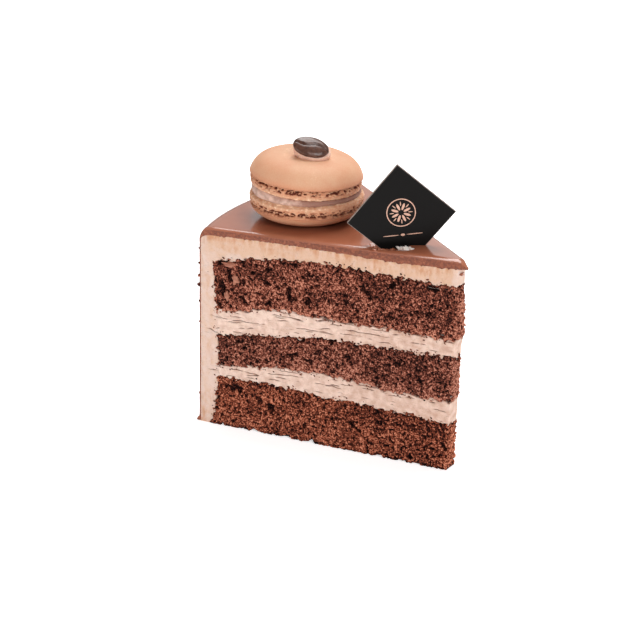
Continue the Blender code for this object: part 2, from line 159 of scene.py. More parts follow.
def facing(turn, at_point):
    """The directions in which the surface of a cut may stand out at a place."""
    out = Vector((0.0, 0.0, 0.0))
    if turn < ON_A_CUT:
        out += SHOWN_FACING
    if turn > 1 - ON_A_CUT:
        out += HIDDEN_FACING
    if at_point:
        out += POINT_FACING
    return out


def pushed(out, rise, height, at_point):
    """How far the relief carries a place of a cut, with the bulge at the point of the slice."""
    push = out * rise
    if at_point:
        bulge = BULGE_DEPTH * math.exp(-(((height - BULGE_HEIGHT) / BULGE_REACH) ** 2))
        push += POINT_FACING * bulge
    return push


def draw_out(bm, way):
    """Draws the faces of a mesh out into a block."""
    drawn = bmesh.ops.extrude_face_region(bm, geom=bm.faces[:])["geom"]
    far = [part for part in drawn if isinstance(part, bmesh.types.BMVert)]
    bmesh.ops.translate(bm, verts=far, vec=way)


def split_across(bm, rows):
    """Splits a block one unit deep into rows from its near face to its far face."""
    sides = [edge for edge in bm.edges if abs(edge.verts[0].co.z - edge.verts[1].co.z) > 0.5]
    bmesh.ops.subdivide_edges(bm, edges=sides, cuts=rows - 1)


def slab(along, across, turns):
    """A block of quads: a grid for the shown cut, drawn out to the hidden one and split across."""
    bm = bmesh.new()
    bmesh.ops.create_grid(bm, x_segments=along, y_segments=across, size=0.5)
    draw_out(bm, (0.0, 0.0, 1.0))
    split_across(bm, turns)
    return bm


def in_frame(bm):
    """Brings a mesh into the frame. Until then it is in millimetres, with the point of the slice at
    the origin, the shown cut along -X and the table at height 0."""
    bmesh.ops.scale(bm, verts=bm.verts[:], vec=(MM, MM, MM))
    bmesh.ops.translate(bm, verts=bm.verts[:], vec=POINT_IN_FRAME)


def add_piece(name, bm, finish, slot, *nodes):
    """Finishes a mesh as a piece of the slice, in place of the plain nodes it stands for."""
    in_frame(bm)
    for vert in bm.verts:
        vert.co = [min(max(place, low), high) for place, low, high in zip(vert.co, *cad_box)]
    bmesh.ops.recalc_face_normals(bm, faces=bm.faces[:])
    if bm.calc_volume(signed=True) < 0.0:
        bmesh.ops.reverse_faces(bm, faces=bm.faces[:])
    mesh = bpy.data.meshes.new(name)
    bm.to_mesh(mesh)
    bm.free()
    mesh.materials.append(finish)
    mesh.shade_smooth()
    piece = bpy.data.objects.new(name, mesh)
    bpy.context.scene.collection.objects.link(piece)
    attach(piece, "root")
    if nodes:
        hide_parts(*nodes)
    return piece


def add_shader_node(tree, kind, inputs=None, **settings):
    """A node with its settings and the values of its inputs."""
    made = tree.nodes.new(kind)
    for name, value in settings.items():
        setattr(made, name, value)
    for name, value in (inputs or {}).items():
        if isinstance(value, bpy.types.NodeSocket):
            tree.links.new(value, made.inputs[name])
        else:
            made.inputs[name].default_value = value
    return made


def combine(tree, operation, *values, clamp=False):
    """A sum, a product or the like of values in a material."""
    inputs = dict(enumerate(values))
    made = add_shader_node(tree, "ShaderNodeMath", inputs, operation=operation, use_clamp=clamp)
    return made.outputs[0]


def painted(tree, layer):
    """A value that the vertices of the mesh carry in a named layer."""
    return add_shader_node(tree, "ShaderNodeAttribute", attribute_name=layer).outputs["Fac"]


SCATTER_COLOUR = (1.0, 0.5, 0.35)
SCATTER_DEPTH = 2.0


def new_finish(name, roughness, coat=0.0, subsurface=0.0, specular=0.5):
    """A material with its Principled shader, ready for its colour."""
    finish = bpy.data.materials.new(name)
    finish.use_nodes = True
    shader = finish.node_tree.nodes["Principled BSDF"]
    shader.inputs["Roughness"].default_value = roughness
    shader.inputs["Coat Weight"].default_value = coat
    shader.inputs["Specular IOR Level"].default_value = specular
    shader.inputs["Subsurface Weight"].default_value = subsurface
    shader.inputs["Subsurface Radius"].default_value = SCATTER_COLOUR
    shader.inputs["Subsurface Scale"].default_value = SCATTER_DEPTH * MM
    return finish, finish.node_tree, shader


def dress(tree, shader, colour, grain):
    """Gives a finish its colour and the fine relief of its grain."""
    tree.links.new(colour, shader.inputs["Base Color"])
    tree.links.new(grain.outputs["Normal"], shader.inputs["Normal"])


def colour_steps(tree, factor, *steps):
    """A ramp from (place, colour) steps."""
    ramp = add_shader_node(tree, "ShaderNodeValToRGB", {"Fac": factor})
    elements = ramp.color_ramp.elements
    while len(elements) < len(steps):
        elements.new(0.5)
    for element, (place, colour) in zip(elements, steps):
        element.position = place
        element.color = (*colour, 1.0)
    return ramp.outputs["Color"]


def make_grain_group():
    """Fine grain on any food: a value round 0.5 and a normal, from noise of a stated size."""
    group = bpy.data.node_groups.new("food_grain", "ShaderNodeTree")
    face = group.interface
    face.new_socket("Size", in_out="INPUT", socket_type="NodeSocketFloat")
    face.new_socket("Depth", in_out="INPUT", socket_type="NodeSocketFloat")
    face.new_socket("Value", in_out="OUTPUT", socket_type="NodeSocketFloat")
    face.new_socket("Normal", in_out="OUTPUT", socket_type="NodeSocketVector")
    inside = group.nodes.new("NodeGroupInput")
    outside = group.nodes.new("NodeGroupOutput")
    where = add_shader_node(group, "ShaderNodeTexCoord").outputs["Object"]
    scale = combine(group, "DIVIDE", 1.0, inside.outputs["Size"])
    cloud = add_shader_node(
        group,
        "ShaderNodeTexNoise",
        {"Vector": where, "Scale": scale, "Detail": 3.0, "Roughness": 0.6},
    )
    bump = add_shader_node(
        group,
        "ShaderNodeBump",
        {"Strength": 1.0, "Distance": inside.outputs["Depth"], "Height": cloud.outputs["Fac"]},
    )
    group.links.new(cloud.outputs["Fac"], outside.inputs["Value"])
    group.links.new(bump.outputs["Normal"], outside.inputs["Normal"])
    return group


grain_group = make_grain_group()


def add_grain(tree, size, depth):
    """Places the grain group in a material, with its size and depth in millimetres."""
    grain = add_shader_node(tree, "ShaderNodeGroup", node_tree=grain_group)
    grain.inputs["Size"].default_value = size * MM
    grain.inputs["Depth"].default_value = depth * MM
    return grain


CRUMB_STEPS = (0.0, 0.28, 0.58, 0.85)
# Near black, for the painted shade in the deepest pits.
PIT_SHADE_BLACK = (0.007, 0.002, 0.002)
CRUMB_SPECKS_AND_GLINTS = 2.6


def crumb_finish(name, *colours):
    """Chocolate crumb: painted light on the grains, painted shade near black in the pits, with fine
    specks.
    """
    finish, tree, shader = new_finish(name, roughness=0.95, specular=0.08)
    grain = add_grain(tree, size=0.5, depth=0.2)
    # Fine specks of random tone; the light ones are painted glints of light on the grains.
    specks_and_glints = combine(tree, "MULTIPLY_ADD", grain.outputs["Value"], CRUMB_SPECKS_AND_GLINTS, -CRUMB_SPECKS_AND_GLINTS / 2)
    depth = combine(tree, "ADD", painted(tree, "shade_and_tone"), specks_and_glints)
    dress(tree, shader, colour_steps(tree, depth, *zip(CRUMB_STEPS, (*colours, PIT_SHADE_BLACK))), grain)
    return finish


# A tuft is a clump of crumbs that reaches over the border of its sponge.
TUFT_HEIGHT = 1.25
TUFT_SIZE = 1.7
TUFT_SHIFT = Vector((3.0, 0.0, 0.0))
SMALL_TUFT_SHARE = 0.55
SMALL_TUFT_SIZE = 0.75
TORN_CENTRE = Vector((-83.0, 0.0, 61.0))
TORN_REACH = 7.0
TORN_OPENING = 0.3


def ragged(place):
    """How far crumbs carry the border of a sponge out into the cream at a place."""
    tufts = noise.noise(place / TUFT_SIZE + TUFT_SHIFT)
    return TUFT_HEIGHT * (tufts + SMALL_TUFT_SHARE * noise.noise(place / SMALL_TUFT_SIZE))


def torn(place):
    """The torn patch at the upper outer corner of the top sponge, where cavities are larger."""
    away = (place - TORN_CENTRE) / TORN_REACH
    return TORN_OPENING * math.exp(-away.length_squared)


# The forms of the crumb, from its slow swell to its holes and cavities: how large each is, how far
# it stands out from the flat of the cut, and how much painted shade it gives a place. Holes and
# cavities take painted shade; lumps, fine grains and tears are painted lighter.
CRUMB_BEND = 0.35
CRUMB_BEND_SIZE = 1.3
CRUMB_SIZE = {"swell": 5.0, "tear": 1.6, "lump": 0.85, "fine": 0.5, "hole": 1.05, "cavity": 2.6}
CRUMB_RISE = {"swell": 0.2, "tear": 0.2, "lump": 0.4, "fine": 0.16, "hole": -0.55, "cavity": -0.8}
CRUMB_PAINTED_SHADING = {"lump": -0.6, "fine": -0.35, "tear": -0.15, "hole": 0.45, "cavity": 0.5}
DARK_START = 0.42
LUMP_MIDDLE = 0.55
HOLE_SHIFT = Vector((7.0, 3.0, 5.0))
HOLE_EDGES = (0.08, 0.5)
CAVITY_SHIFT = Vector((4.3, 2.4, 8.2))
CAVITY_EDGES = (0.41, 0.6)
PIT_FLOOR = -1.5


def crumb(place):
    """How far the crumb stands out from the flat of the knife, and its painted shade from 0 to 1,
    darkest in the pits.
    """
    bent = place + CRUMB_BEND * noise.noise_vector(place / CRUMB_BEND_SIZE)
    hole = noise.noise(bent / CRUMB_SIZE["hole"] + HOLE_SHIFT)
    cavity = noise.noise(bent / CRUMB_SIZE["cavity"] + CAVITY_SHIFT) + torn(place)
    form = {
        "swell": noise.noise(place / CRUMB_SIZE["swell"]),
        "tear": noise.noise(bent / CRUMB_SIZE["tear"]),
        "lump": LUMP_MIDDLE - noise.voronoi(bent / CRUMB_SIZE["lump"])[0][0],
        "fine": noise.noise(bent / CRUMB_SIZE["fine"]),
        "hole": smooth_step(*HOLE_EDGES, hole),
        "cavity": smooth_step(*CAVITY_EDGES, cavity),
    }
    rise = sum(weight * form[part] for part, weight in CRUMB_RISE.items())
    shade_and_tone = sum((weight * form[part] for part, weight in CRUMB_PAINTED_SHADING.items()), DARK_START)
    return max(rise, PIT_FLOOR), min(max(shade_and_tone, 0.0), 1.0)


# Bits are missing from the table edge of the lowest sponge: each wave is a share, a size and a seed.
BITE_WAVES = ((1.0, 4.5, 40.0), (0.5, 1.4, 44.0))
BITE_HEIGHT = 2.2
BITE_FADE = (2.6, 0.2)


def edge_noise(radius, turn, waves):
    """Noise along an edge of a cut."""
    return sum(share * noise.noise(Vector((radius / size, turn, seed))) for share, size, seed in waves)


def table_bite(radius, height, turn):
    """How far the missing bits raise the table edge of the lowest sponge."""
    missing = max(0.0, edge_noise(radius, turn, BITE_WAVES))
    return BITE_HEIGHT * missing * smooth_step(*BITE_FADE, height)


# The tones of a cut. Those in brackets are an amount, and the bounds between which it comes in.
PATCH_TONE = 0.22
PATCH_SIZE = 6.0
UPWARD_TONE = 0.12
TONE_START = -0.09
POINT_TONE = (0.07, 45.0, 20.0)
# Painted light: the facet at the point of the slice is made lighter.
TIP_PAINTED_LIGHT = (-0.2, 2.0, 0.0)
TABLE_TONE = (0.3, 1.6, 0.0)
UNDER_TONE = (-0.16, 2.6, 0.2)
MIDDLE_TONE = (0.06, 50.0, 75.0)
# Painted shade where the crumb sinks behind the cream.
SUNK_SHADE = (0.3, 0.4, 0.8)
HIDDEN_TONE = 0.6


def sponge_tone(place, radius, over_low, share, under):
    """How much darker a place of a sponge is than the painted shade of its pits makes it. The facet at
    the point is painted lighter.
    """
    tone = PATCH_TONE * noise.noise(place / PATCH_SIZE) + UPWARD_TONE * share + TONE_START
    tone += fade(POINT_TONE, radius) + fade(TIP_PAINTED_LIGHT, radius)
    tone += fade(TABLE_TONE if under is TABLE else UNDER_TONE, over_low)
    if under is MIDDLE_SPONGE_UNDER:
        tone += fade(MIDDLE_TONE, radius)
    return tone


SHUFFLE = 0.12
SHUFFLE_SIZE = 0.6


def sponge(name, node, under, over, finish):
    """A sponge slab between two layer boundaries, out to the cream ring."""
    reach = RING_INNER + EDGE_REACH
    along = round(reach / CRUMB_SPACING)
    thickness = curve_through(over, 0.5) - curve_through(under, 0.5)
    across = round((thickness + EDGE_REACH) / CRUMB_SPACING)
    bm = slab(along, across, CRUMB_TURNS)
    depth = bm.verts.layers.float.new("shade_and_tone")
    low_reach = 0.0 if under is TABLE else EDGE_REACH
    for vert in bm.verts:
        step, turn = round((vert.co.x + 0.5) * along), vert.co.z
        station = step * reach / along
        low, high = boundary(under, station), boundary(over, station)
        height = low - low_reach + (high - low + low_reach + EDGE_REACH) * (vert.co.y + 0.5)
        ring = ring_inner(height)
        radius = station * (ring + EDGE_REACH) / reach
        place = slice_point(radius, height, turn)
        out = facing(turn, step == 0)
        vert[depth] = HIDDEN_TONE
        if out.length > 0.0:
            over_low = height - low
            inside = min(high - height, ring - radius)
            inside = min(inside, height + TABLE_REACH if under is TABLE else over_low)
            inside += ragged(place)
            rise, shade_and_tone = crumb(place)
            sink = CRUMB_SINK * (1 - smooth_step(-EDGE_REACH, EDGE_BLEND, inside))
            shuffle = SHUFFLE * noise.noise_vector(place / SHUFFLE_SIZE)
            shuffle.z *= min(1.0, height)
            place += pushed(out, rise - sink, height, step == 0) + shuffle
            place.z = max(place.z, 0.0)
            if under is TABLE:
                place.z += table_bite(radius, height, turn)
            share = over_low / (high - low)
            tone = sponge_tone(place, radius, over_low, share, under)
            # Painted shade in the pits and where the crumb sinks behind the cream, added to the tone of
            # the cut.
            vert[depth] = min(1.0, max(0.0, shade_and_tone + tone + fade(SUNK_SHADE, share) * sink))
        vert.co = place
    return add_piece(name, bm, finish, "sponge", node)


# The bends in the grain of the crumb, and later the lumps of the dab, are drawn from this seed.
GRAIN_SEED = 1

noise.seed_set(GRAIN_SEED)
bottom_crumb = crumb_finish(
    "bottom_crumb", (0.59, 0.22, 0.13), (0.270, 0.066, 0.033), (0.072, 0.016, 0.009)
)
middle_crumb = crumb_finish(
    "middle_crumb", (0.52, 0.222, 0.15), (0.22, 0.060, 0.037), (0.064, 0.018, 0.012)
)
top_crumb = crumb_finish(
    "top_crumb", (0.545, 0.225, 0.148), (0.230, 0.060, 0.036), (0.062, 0.017, 0.011)
)
sponge("crumb_bottom", "sponge_bottom", TABLE, BOTTOM_SPONGE_TOP, bottom_crumb)
sponge("crumb_middle", "sponge_middle", MIDDLE_SPONGE_UNDER, MIDDLE_SPONGE_TOP, middle_crumb)
sponge("crumb_top", "sponge_top", TOP_SPONGE_UNDER, TOP_SPONGE_TOP, top_crumb)

# Cream fillings
# Two layers of pale chocolate cream, spread on the sponges and squeezed a little between them. The
# knife has dragged the cream sideways and opened thin level cracks, mostly in its upper half.
CREAM_BACK = 0.12
CREAM_SINK = 1.7
CREAM_EDGES = (-0.6, 0.3)
BORDER_EDGES = (0.5, -0.3)
# Painted shade, towards the crack colour, where the cream sinks at its borders.
BORDER_SHADE = 0.4
FILLING_BORDER_STAIN = 1.3
POINT_WARMTH = (0.3, 60.0, 15.0)
SEAM_SINK = 0.3
SEAM_START = 2.0
SEAM_REACH = 1.5
FILLING_SPACING = 0.34
FILLING_LEVEL = 0.11
CREAM_TURNS = 20
# The colour of the painted shade in cracks and sunk borders, and of the fine dark flecks.
CRACK_SHADE_AND_FLECK_COLOUR = (0.10, 0.035, 0.02)


def add_cloud(tree, size, detail, stretch=(1.0, 1.0, 1.0)):
    """Soft noise over a piece, with clouds of a size in millimetres, which may be drawn out."""
    where = add_shader_node(tree, "ShaderNodeTexCoord").outputs["Object"]
    drawn = add_shader_node(tree, "ShaderNodeMapping", {"Vector": where, "Scale": stretch})
    inputs = {"Vector": drawn.outputs[0], "Scale": 1 / (size * MM), "Detail": detail}
    return add_shader_node(tree, "ShaderNodeTexNoise", inputs).outputs["Fac"]


def spread(tree, value, low=0.0, high=1.0, to_low=0.0, to_high=1.0):
    """The values between two bounds, spread over a new range."""
    inputs = {"Value": value, "From Min": low, "From Max": high, "To Min": to_low, "To Max": to_high}
    return add_shader_node(tree, "ShaderNodeMapRange", inputs).outputs[0]


def mix_colours(tree, share, below, above):
    """One colour laid over another by a share."""
    mixed = add_shader_node(tree, "ShaderNodeMix", {0: share, 6: below, 7: above}, data_type="RGBA")
    return mixed.outputs[2]


def cream_finish(name, pale, warm, stain):
    """Whipped chocolate cream: pale, with warm cloudy patches, fine dark flecks, and painted shade in
    the cracks and sunk borders.
    """
    finish, tree, shader = new_finish(name, roughness=0.6, subsurface=0.15, specular=0.3)
    cloud = add_cloud(tree, size=2.2, detail=5.0)
    uneven = spread(tree, cloud, low=0.35, high=0.65, to_low=-0.1, to_high=0.7)
    patches = combine(tree, "ADD", painted(tree, "warmth"), uneven, clamp=True)
    streaks = add_cloud(tree, size=1.5, detail=6.0, stretch=(1.0, 1.0, 0.4))
    drips = combine(tree, "MULTIPLY", painted(tree, "stain"), spread(tree, streaks, low=0.38, high=0.62))
    grain = add_grain(tree, size=0.45, depth=0.10)
    flecks = spread(tree, grain.outputs["Value"], low=0.56, high=0.78, to_high=0.3)
    crack_shade_and_flecks = combine(tree, "ADD", painted(tree, "shade_and_tone"), flecks, clamp=True)
    colour = (*pale, 1.0)
    for share, tint in ((patches, warm), (drips, stain), (crack_shade_and_flecks, CRACK_SHADE_AND_FLECK_COLOUR)):
        colour = mix_colours(tree, share, colour, (*tint, 1.0))
    dress(tree, shader, colour, grain)
    return finish


def relief(place, waves):
    """Relief over a surface. Each wave is its depth and its size."""
    return sum(deep * noise.noise(place / size) for deep, size in waves)


def cut_noise(radius, height, turn, pattern):
    """Noise over a cut. A pattern is its size along the cut, its size up it, and its seed."""
    along, up, seed = pattern
    return noise.noise(Vector((radius / along, height / up, turn + seed)))


CREAM_WAVES = ((0.12, 6.0), (0.05, 1.3))
DRAG_DEPTH = 0.05
DRAG = (6.0, 0.45, 0.0)
CRACK_DEPTH = 0.45
CRACK_WIDTH = 0.12
CRACK_RUN = (20.0, 1.5, 5.0)
CRACK_BEND_DEPTH = 0.35
CRACK_BEND = (2.2, 3.0, 2.0)
CRACK_JITTER_DEPTH = 0.15
CRACK_JITTER = (0.8, 2.0, 3.0)
CRACK_STEP = 0.1
CRACK_LEAST_SLOPE = 0.3
CRACK_PATCHES = (5.5, 0.8, 9.0)
CRACK_PATCH_EDGES = (0.05, 0.25)
CRACKS_OUTWARD = 0.25
CRACKS_OUTWARD_START = 0.4
CRACKS_UPWARD = 0.5
CRACKS_UPWARD_START = 0.6


def crack_line(radius, height, turn):
    """A slow field whose zeros are long, nearly level lines."""
    wobble = CRACK_BEND_DEPTH * cut_noise(radius, height, turn, CRACK_BEND)
    wobble += CRACK_JITTER_DEPTH * cut_noise(radius, height, turn, CRACK_JITTER)
    return cut_noise(radius, height + wobble, turn, CRACK_RUN)


def crack_at(radius, height, share, turn):
    """How deep in a level crack a place of a filling is, from 0 to 1."""
    line = crack_line(radius, height, turn)
    slope = abs(crack_line(radius, height + CRACK_STEP, turn) - line) / CRACK_STEP
    away = line / max(slope, CRACK_LEAST_SLOPE)
    outward = CRACKS_OUTWARD * (min(radius, RING_INNER) / RING_INNER - CRACKS_OUTWARD_START)
    patch = cut_noise(radius, height, turn, CRACK_PATCHES)
    patch += outward + CRACKS_UPWARD * (share - CRACKS_UPWARD_START)
    return math.exp(-((away / CRACK_WIDTH) ** 2)) * smooth_step(*CRACK_PATCH_EDGES, patch)


def cream_layers(bm):
    """The layers that the cream's finish reads: cracks, warm patches and stains."""
    return [bm.verts.layers.float.new(layer) for layer in ("shade_and_tone", "warmth", "stain")]


def filling(name, node, under, over, finish):
    """A cream filling between two layer boundaries, which runs out into the ring."""
    along = round((RING_INNER + SEAM_REACH) / FILLING_SPACING)
    thickness = curve_through(over, 0.5) - curve_through(under, 0.5) + 2 * EDGE_REACH
    across = round(thickness / FILLING_LEVEL)
    bm = slab(along, across, CREAM_TURNS)
    depth, warmth, stain = cream_layers(bm)
    for vert in bm.verts:
        step, share, turn = round((vert.co.x + 0.5) * along), vert.co.y + 0.5, vert.co.z
        radius = step * (RING_INNER + SEAM_REACH) / along
        low, high = boundary(under, radius), boundary(over, radius)
        height = low - EDGE_REACH + (high - low + 2 * EDGE_REACH) * share
        place = slice_point(radius, height, turn)
        out = facing(turn, step == 0)
        if out.length > 0.0:
            inside = min(high - height, height - low) - ragged(place)
            sink = CREAM_SINK * (1 - smooth_step(*CREAM_EDGES, inside))
            seam = SEAM_SINK * smooth_step(RING_INNER - SEAM_START, RING_INNER + SEAM_REACH, radius)
            drag = DRAG_DEPTH * cut_noise(radius, height, turn, DRAG)
            crack = crack_at(radius, height, share, turn) if inside > 0.0 and step > 0 else 0.0
            rise = relief(place, CREAM_WAVES) + drag - CREAM_BACK - sink - seam - CRACK_DEPTH * crack
            place += pushed(out, rise, height, step == 0)
            border = smooth_step(*BORDER_EDGES, inside)
            # Painted shade in the cracks and at the sunk borders, and a brown stain at the borders.
            vert[depth] = max(crack, BORDER_SHADE * border)
            vert[stain] = FILLING_BORDER_STAIN * border
            vert[warmth] = fade(POINT_WARMTH, radius)
        vert.co = place
    return add_piece(name, bm, finish, "cream", node)


filling_cream = cream_finish(
    "filling_cream", pale=(0.73, 0.54, 0.45), warm=(0.52, 0.325, 0.245), stain=(0.34, 0.13, 0.075)
)
filling("filling_lower", "cream_lower", BOTTOM_SPONGE_TOP, MIDDLE_SPONGE_UNDER, filling_cream)
filling("filling_upper", "cream_upper", MIDDLE_SPONGE_TOP, TOP_SPONGE_UNDER, filling_cream)

# Cream coat
# The same cream over the top sponge and round the outside of the cake, in one piece. Its top is
# warmer, stained by the glaze, and the knife has dragged it down in fine streaks.
GLAZE_TOP = 76.9
GLAZE_UNDER = (74.0, 73.5, 74.1, 74.5, 74.3)
WALL_AT_TABLE = 97.2
WALL_LEAN = 0.05
SHOULDER_START = 86.6
SHOULDER_SQUARENESS = 3.0
COAT_TOP_STEPS = 215
COAT_SHOULDER_STEPS = 14
COAT_WALL_STEPS = 400
COAT_LEVELS = 30
COAT_CORNER_FADE = 30
INTO_GLAZE = 0.3
INTO_WALL_GLAZE = 0.25


def glaze_under(radius):
    """The height of the underside of the glaze on the top of the cake."""
    return curve_through(GLAZE_UNDER, min(radius / RING_INNER, 1.0))


def wall_radius(height):
    """The outer radius of the glazed wall, which leans out a little towards the table."""
    return WALL_AT_TABLE - WALL_LEAN * height


def shoulder(share, top, wall):
    """A point on the rounded shoulder between a top surface and a wall surface."""
    angle = 0.5 * math.pi * share
    power = 2 / SHOULDER_SQUARENESS
    radius = SHOULDER_START + (wall - SHOULDER_START) * math.sin(angle) ** power
    height = SHOULDER_FOOT + (top - SHOULDER_FOOT) * max(math.cos(angle), 0.0) ** power
    return Vector((radius, height))


def coat_outside(step):
    """(radius, height) where the coat meets the glaze, from the slice's point to the table."""
    wall_start = COAT_TOP_STEPS + COAT_SHOULDER_STEPS
    if step <= COAT_TOP_STEPS:
        radius = step * SHOULDER_START / COAT_TOP_STEPS
        return Vector((radius, glaze_under(radius) + INTO_GLAZE))
    if step <= wall_start:
        share = (step - COAT_TOP_STEPS) / COAT_SHOULDER_STEPS
        top = glaze_under(SHOULDER_START) + INTO_GLAZE
        return shoulder(share, top, wall_radius(SHOULDER_FOOT) - INTO_WALL_GLAZE)
    height = SHOULDER_FOOT * (1 - (step - wall_start) / COAT_WALL_STEPS)
    return Vector((wall_radius(height) - INTO_WALL_GLAZE, height))


def coat_inside(step):
    """(radius, height) a little inside the sponges, from the slice's point to the table."""
    if step <= COAT_TOP_STEPS:
        radius = step * SHOULDER_START / COAT_TOP_STEPS
        return Vector((radius, boundary(TOP_SPONGE_TOP, radius) - EDGE_REACH))
    corner = boundary(TOP_SPONGE_TOP, RING_INNER)
    share = (step - COAT_TOP_STEPS) / (COAT_SHOULDER_STEPS + COAT_WALL_STEPS)
    height = corner * (1 - share) - EDGE_REACH * max(0.0, 1 - COAT_CORNER_FADE * share)
    height = max(height, 0.0)
    return Vector((ring_inner(height) - EDGE_REACH, height))


def beside_filling(height):
    """Whether the ring touches a filling at a height, rather than a sponge."""
    lower = BOTTOM_SPONGE_TOP[-1] < height < MIDDLE_SPONGE_UNDER[-1]
    upper = MIDDLE_SPONGE_TOP[-1] < height < TOP_SPONGE_UNDER[-1]
    return lower or upper


# The warm part of the coat lies over the top sponge. These are the heights and radii at its edges,
# then its stains, with how far down the knife has drawn the glaze's stain at each radius.
WARM_HEIGHTS = (66.0, 70.0)
WARM_RIM = (91.0, 89.0)
WARM_POINT = (0.5, 3.0)
TOP_WARMTH = 0.75
GLAZE_STAIN = (70.5, 75.0)
GLAZE_STAIN_REACH = 1.6
GLAZE_STAIN_WAVES = ((1.0, 3.0, 12.0), (0.5, 0.9, 15.0))
BLOTCHES = (7.0, 3.0, 20.0)
BLOTCH_STAIN = (0.6, 0.0, 0.45)
POINT_STAIN = (0.3, 60.0, 20.0)
SMUDGES = (2.0, 7.0, 30.0)
SMUDGE_STAIN = (0.45, 0.0, 0.4)
SMUDGE_RING = (88.0, 90.0)
TABLE_STAIN = (0.6, 10.0, 2.0)
TABLE_STAIN_RING = (90.0, 94.0)
COAT_BORDER_STAIN = 0.8
RING_CRACKS = 0.6
RING_CRACK_RIM = (94.0, 90.0)
STREAKS = (0.8, 6.0, 3.0)
STREAK_DEPTH = 0.06
SWIPES = (2.5, 9.0, 6.0)
SWIPE_DEPTH = 0.05

along = COAT_TOP_STEPS + COAT_SHOULDER_STEPS + COAT_WALL_STEPS
bm = slab(along, COAT_LEVELS, CREAM_TURNS)
depth, warmth, stain = cream_layers(bm)
for vert in bm.verts:
    step, share, turn = round((vert.co.x + 0.5) * along), vert.co.y + 0.5, vert.co.z
    inner, outer = coat_inside(step), coat_outside(step)
    radius, height = inner.lerp(outer, share)
    place = slice_point(radius, height, turn)
    out = facing(turn, step == 0)
    if out.length > 0.0:
        seam = step > COAT_TOP_STEPS and beside_filling(height)
        inside = (outer - inner).length * share - EDGE_REACH - ragged(place)
        sink = (SEAM_SINK if seam else CREAM_SINK) * (1 - smooth_step(*CREAM_EDGES, inside))
        border = 0.0 if seam else smooth_step(*BORDER_EDGES, inside)
        crack = 0.0
        if seam:
            crack = crack_at(radius, height, RING_CRACKS, turn) * smooth_step(*RING_CRACK_RIM, radius)
        on_top = smooth_step(*WARM_HEIGHTS, height) * smooth_step(*WARM_RIM, radius)
        on_top *= smooth_step(*WARM_POINT, radius)
        drawn_down = GLAZE_STAIN_REACH * edge_noise(radius, turn, GLAZE_STAIN_WAVES)
        stained = smooth_step(*GLAZE_STAIN, height + drawn_down) + fade(POINT_STAIN, radius)
        stained += fade(BLOTCH_STAIN, cut_noise(radius, height, turn, BLOTCHES))
        stained *= on_top
        smudge = fade(SMUDGE_STAIN, cut_noise(radius, height, turn, SMUDGES))
        stained += smudge * smooth_step(*SMUDGE_RING, radius)
        stained += fade(TABLE_STAIN, height) * smooth_step(*TABLE_STAIN_RING, radius)
        # Painted shade in the cracks and at the sunk borders, and a brown stain at the borders.
        vert[depth] = max(crack, BORDER_SHADE * border)
        vert[warmth] = TOP_WARMTH * on_top
        vert[stain] = stained + COAT_BORDER_STAIN * border
        rise = relief(place, CREAM_WAVES) - CREAM_BACK - sink - CRACK_DEPTH * crack
        rise += STREAK_DEPTH * on_top * cut_noise(radius, height, turn, STREAKS)
        rise += SWIPE_DEPTH * cut_noise(radius, height, turn, SWIPES)
        place += pushed(out, rise, height, step == 0)
    vert.co = place
coat_cream = cream_finish(
    "coat_cream", pale=(0.65, 0.485, 0.415), warm=(0.62, 0.405, 0.29), stain=(0.52, 0.25, 0.13)
)
add_piece("cream_shell", bm, coat_cream, "cream", "cream_coat")

# Glaze
# Milk chocolate poured warm over the chilled cake: thick and mirror smooth on the top, thin down the
# wall, with a small foot on the table. The knife has rounded its cut edge and drawn out the point.
GLAZE_POINT_NEAR = Vector((1.3, 0.0))
GLAZE_POINT_FAR = Vector((1.2, 0.7))
GLAZE_WALL = 0.44
BEAK_TOP = 74.9
BEAK_UNDER = 74.2
BEAK_LENGTH = 3.4
BEAK_CURVE = 1.15
FOOT_FLARE = 1.3
FOOT_CURVE = 0.5
FOOT_HEIGHT = 1.8
FOOT_CLEARANCE = 0.3
GLAZE_TOP_STEPS = 180
BEAK_STEPS = 9
GLAZE_SHOULDER_STEPS = 14
GLAZE_WALL_STEPS = 70
GLAZE_FOOT_STEPS = 8
GLAZE_LEVELS = 8
GLAZE_TURNS = 56

top_end = BEAK_STEPS + GLAZE_TOP_STEPS
wall_start = top_end + GLAZE_SHOULDER_STEPS
wall_end = wall_start + GLAZE_WALL_STEPS
glaze_along = wall_end + GLAZE_FOOT_STEPS
foot_top = FOOT_CLEARANCE + FOOT_HEIGHT


def glaze_top_place(step):
    """(radius, height, underside) along the top, out from the drawn point of the glaze."""
    if step <= BEAK_STEPS:
        share = step / BEAK_STEPS
        rise = math.sin(0.5 * math.pi * share) ** BEAK_CURVE
        top = BEAK_TOP + (GLAZE_TOP - BEAK_TOP) * rise
        under = BEAK_UNDER + (glaze_under(BEAK_LENGTH) - BEAK_UNDER) * rise
        return BEAK_LENGTH * share, top, under
    radius = BEAK_LENGTH + (SHOULDER_START - BEAK_LENGTH) * (step - BEAK_STEPS) / GLAZE_TOP_STEPS
    return radius, GLAZE_TOP, glaze_under(radius)


def glaze_wall_place(step):
    """(height, flare) down the wall and out over the foot."""
    if step <= wall_end:
        fall = (step - wall_start) / GLAZE_WALL_STEPS
        return SHOULDER_FOOT + (foot_top - SHOULDER_FOOT) * fall, 0.0
    fall = (step - wall_end) / GLAZE_FOOT_STEPS
    return foot_top - FOOT_HEIGHT * fall, FOOT_FLARE * fall**FOOT_CURVE


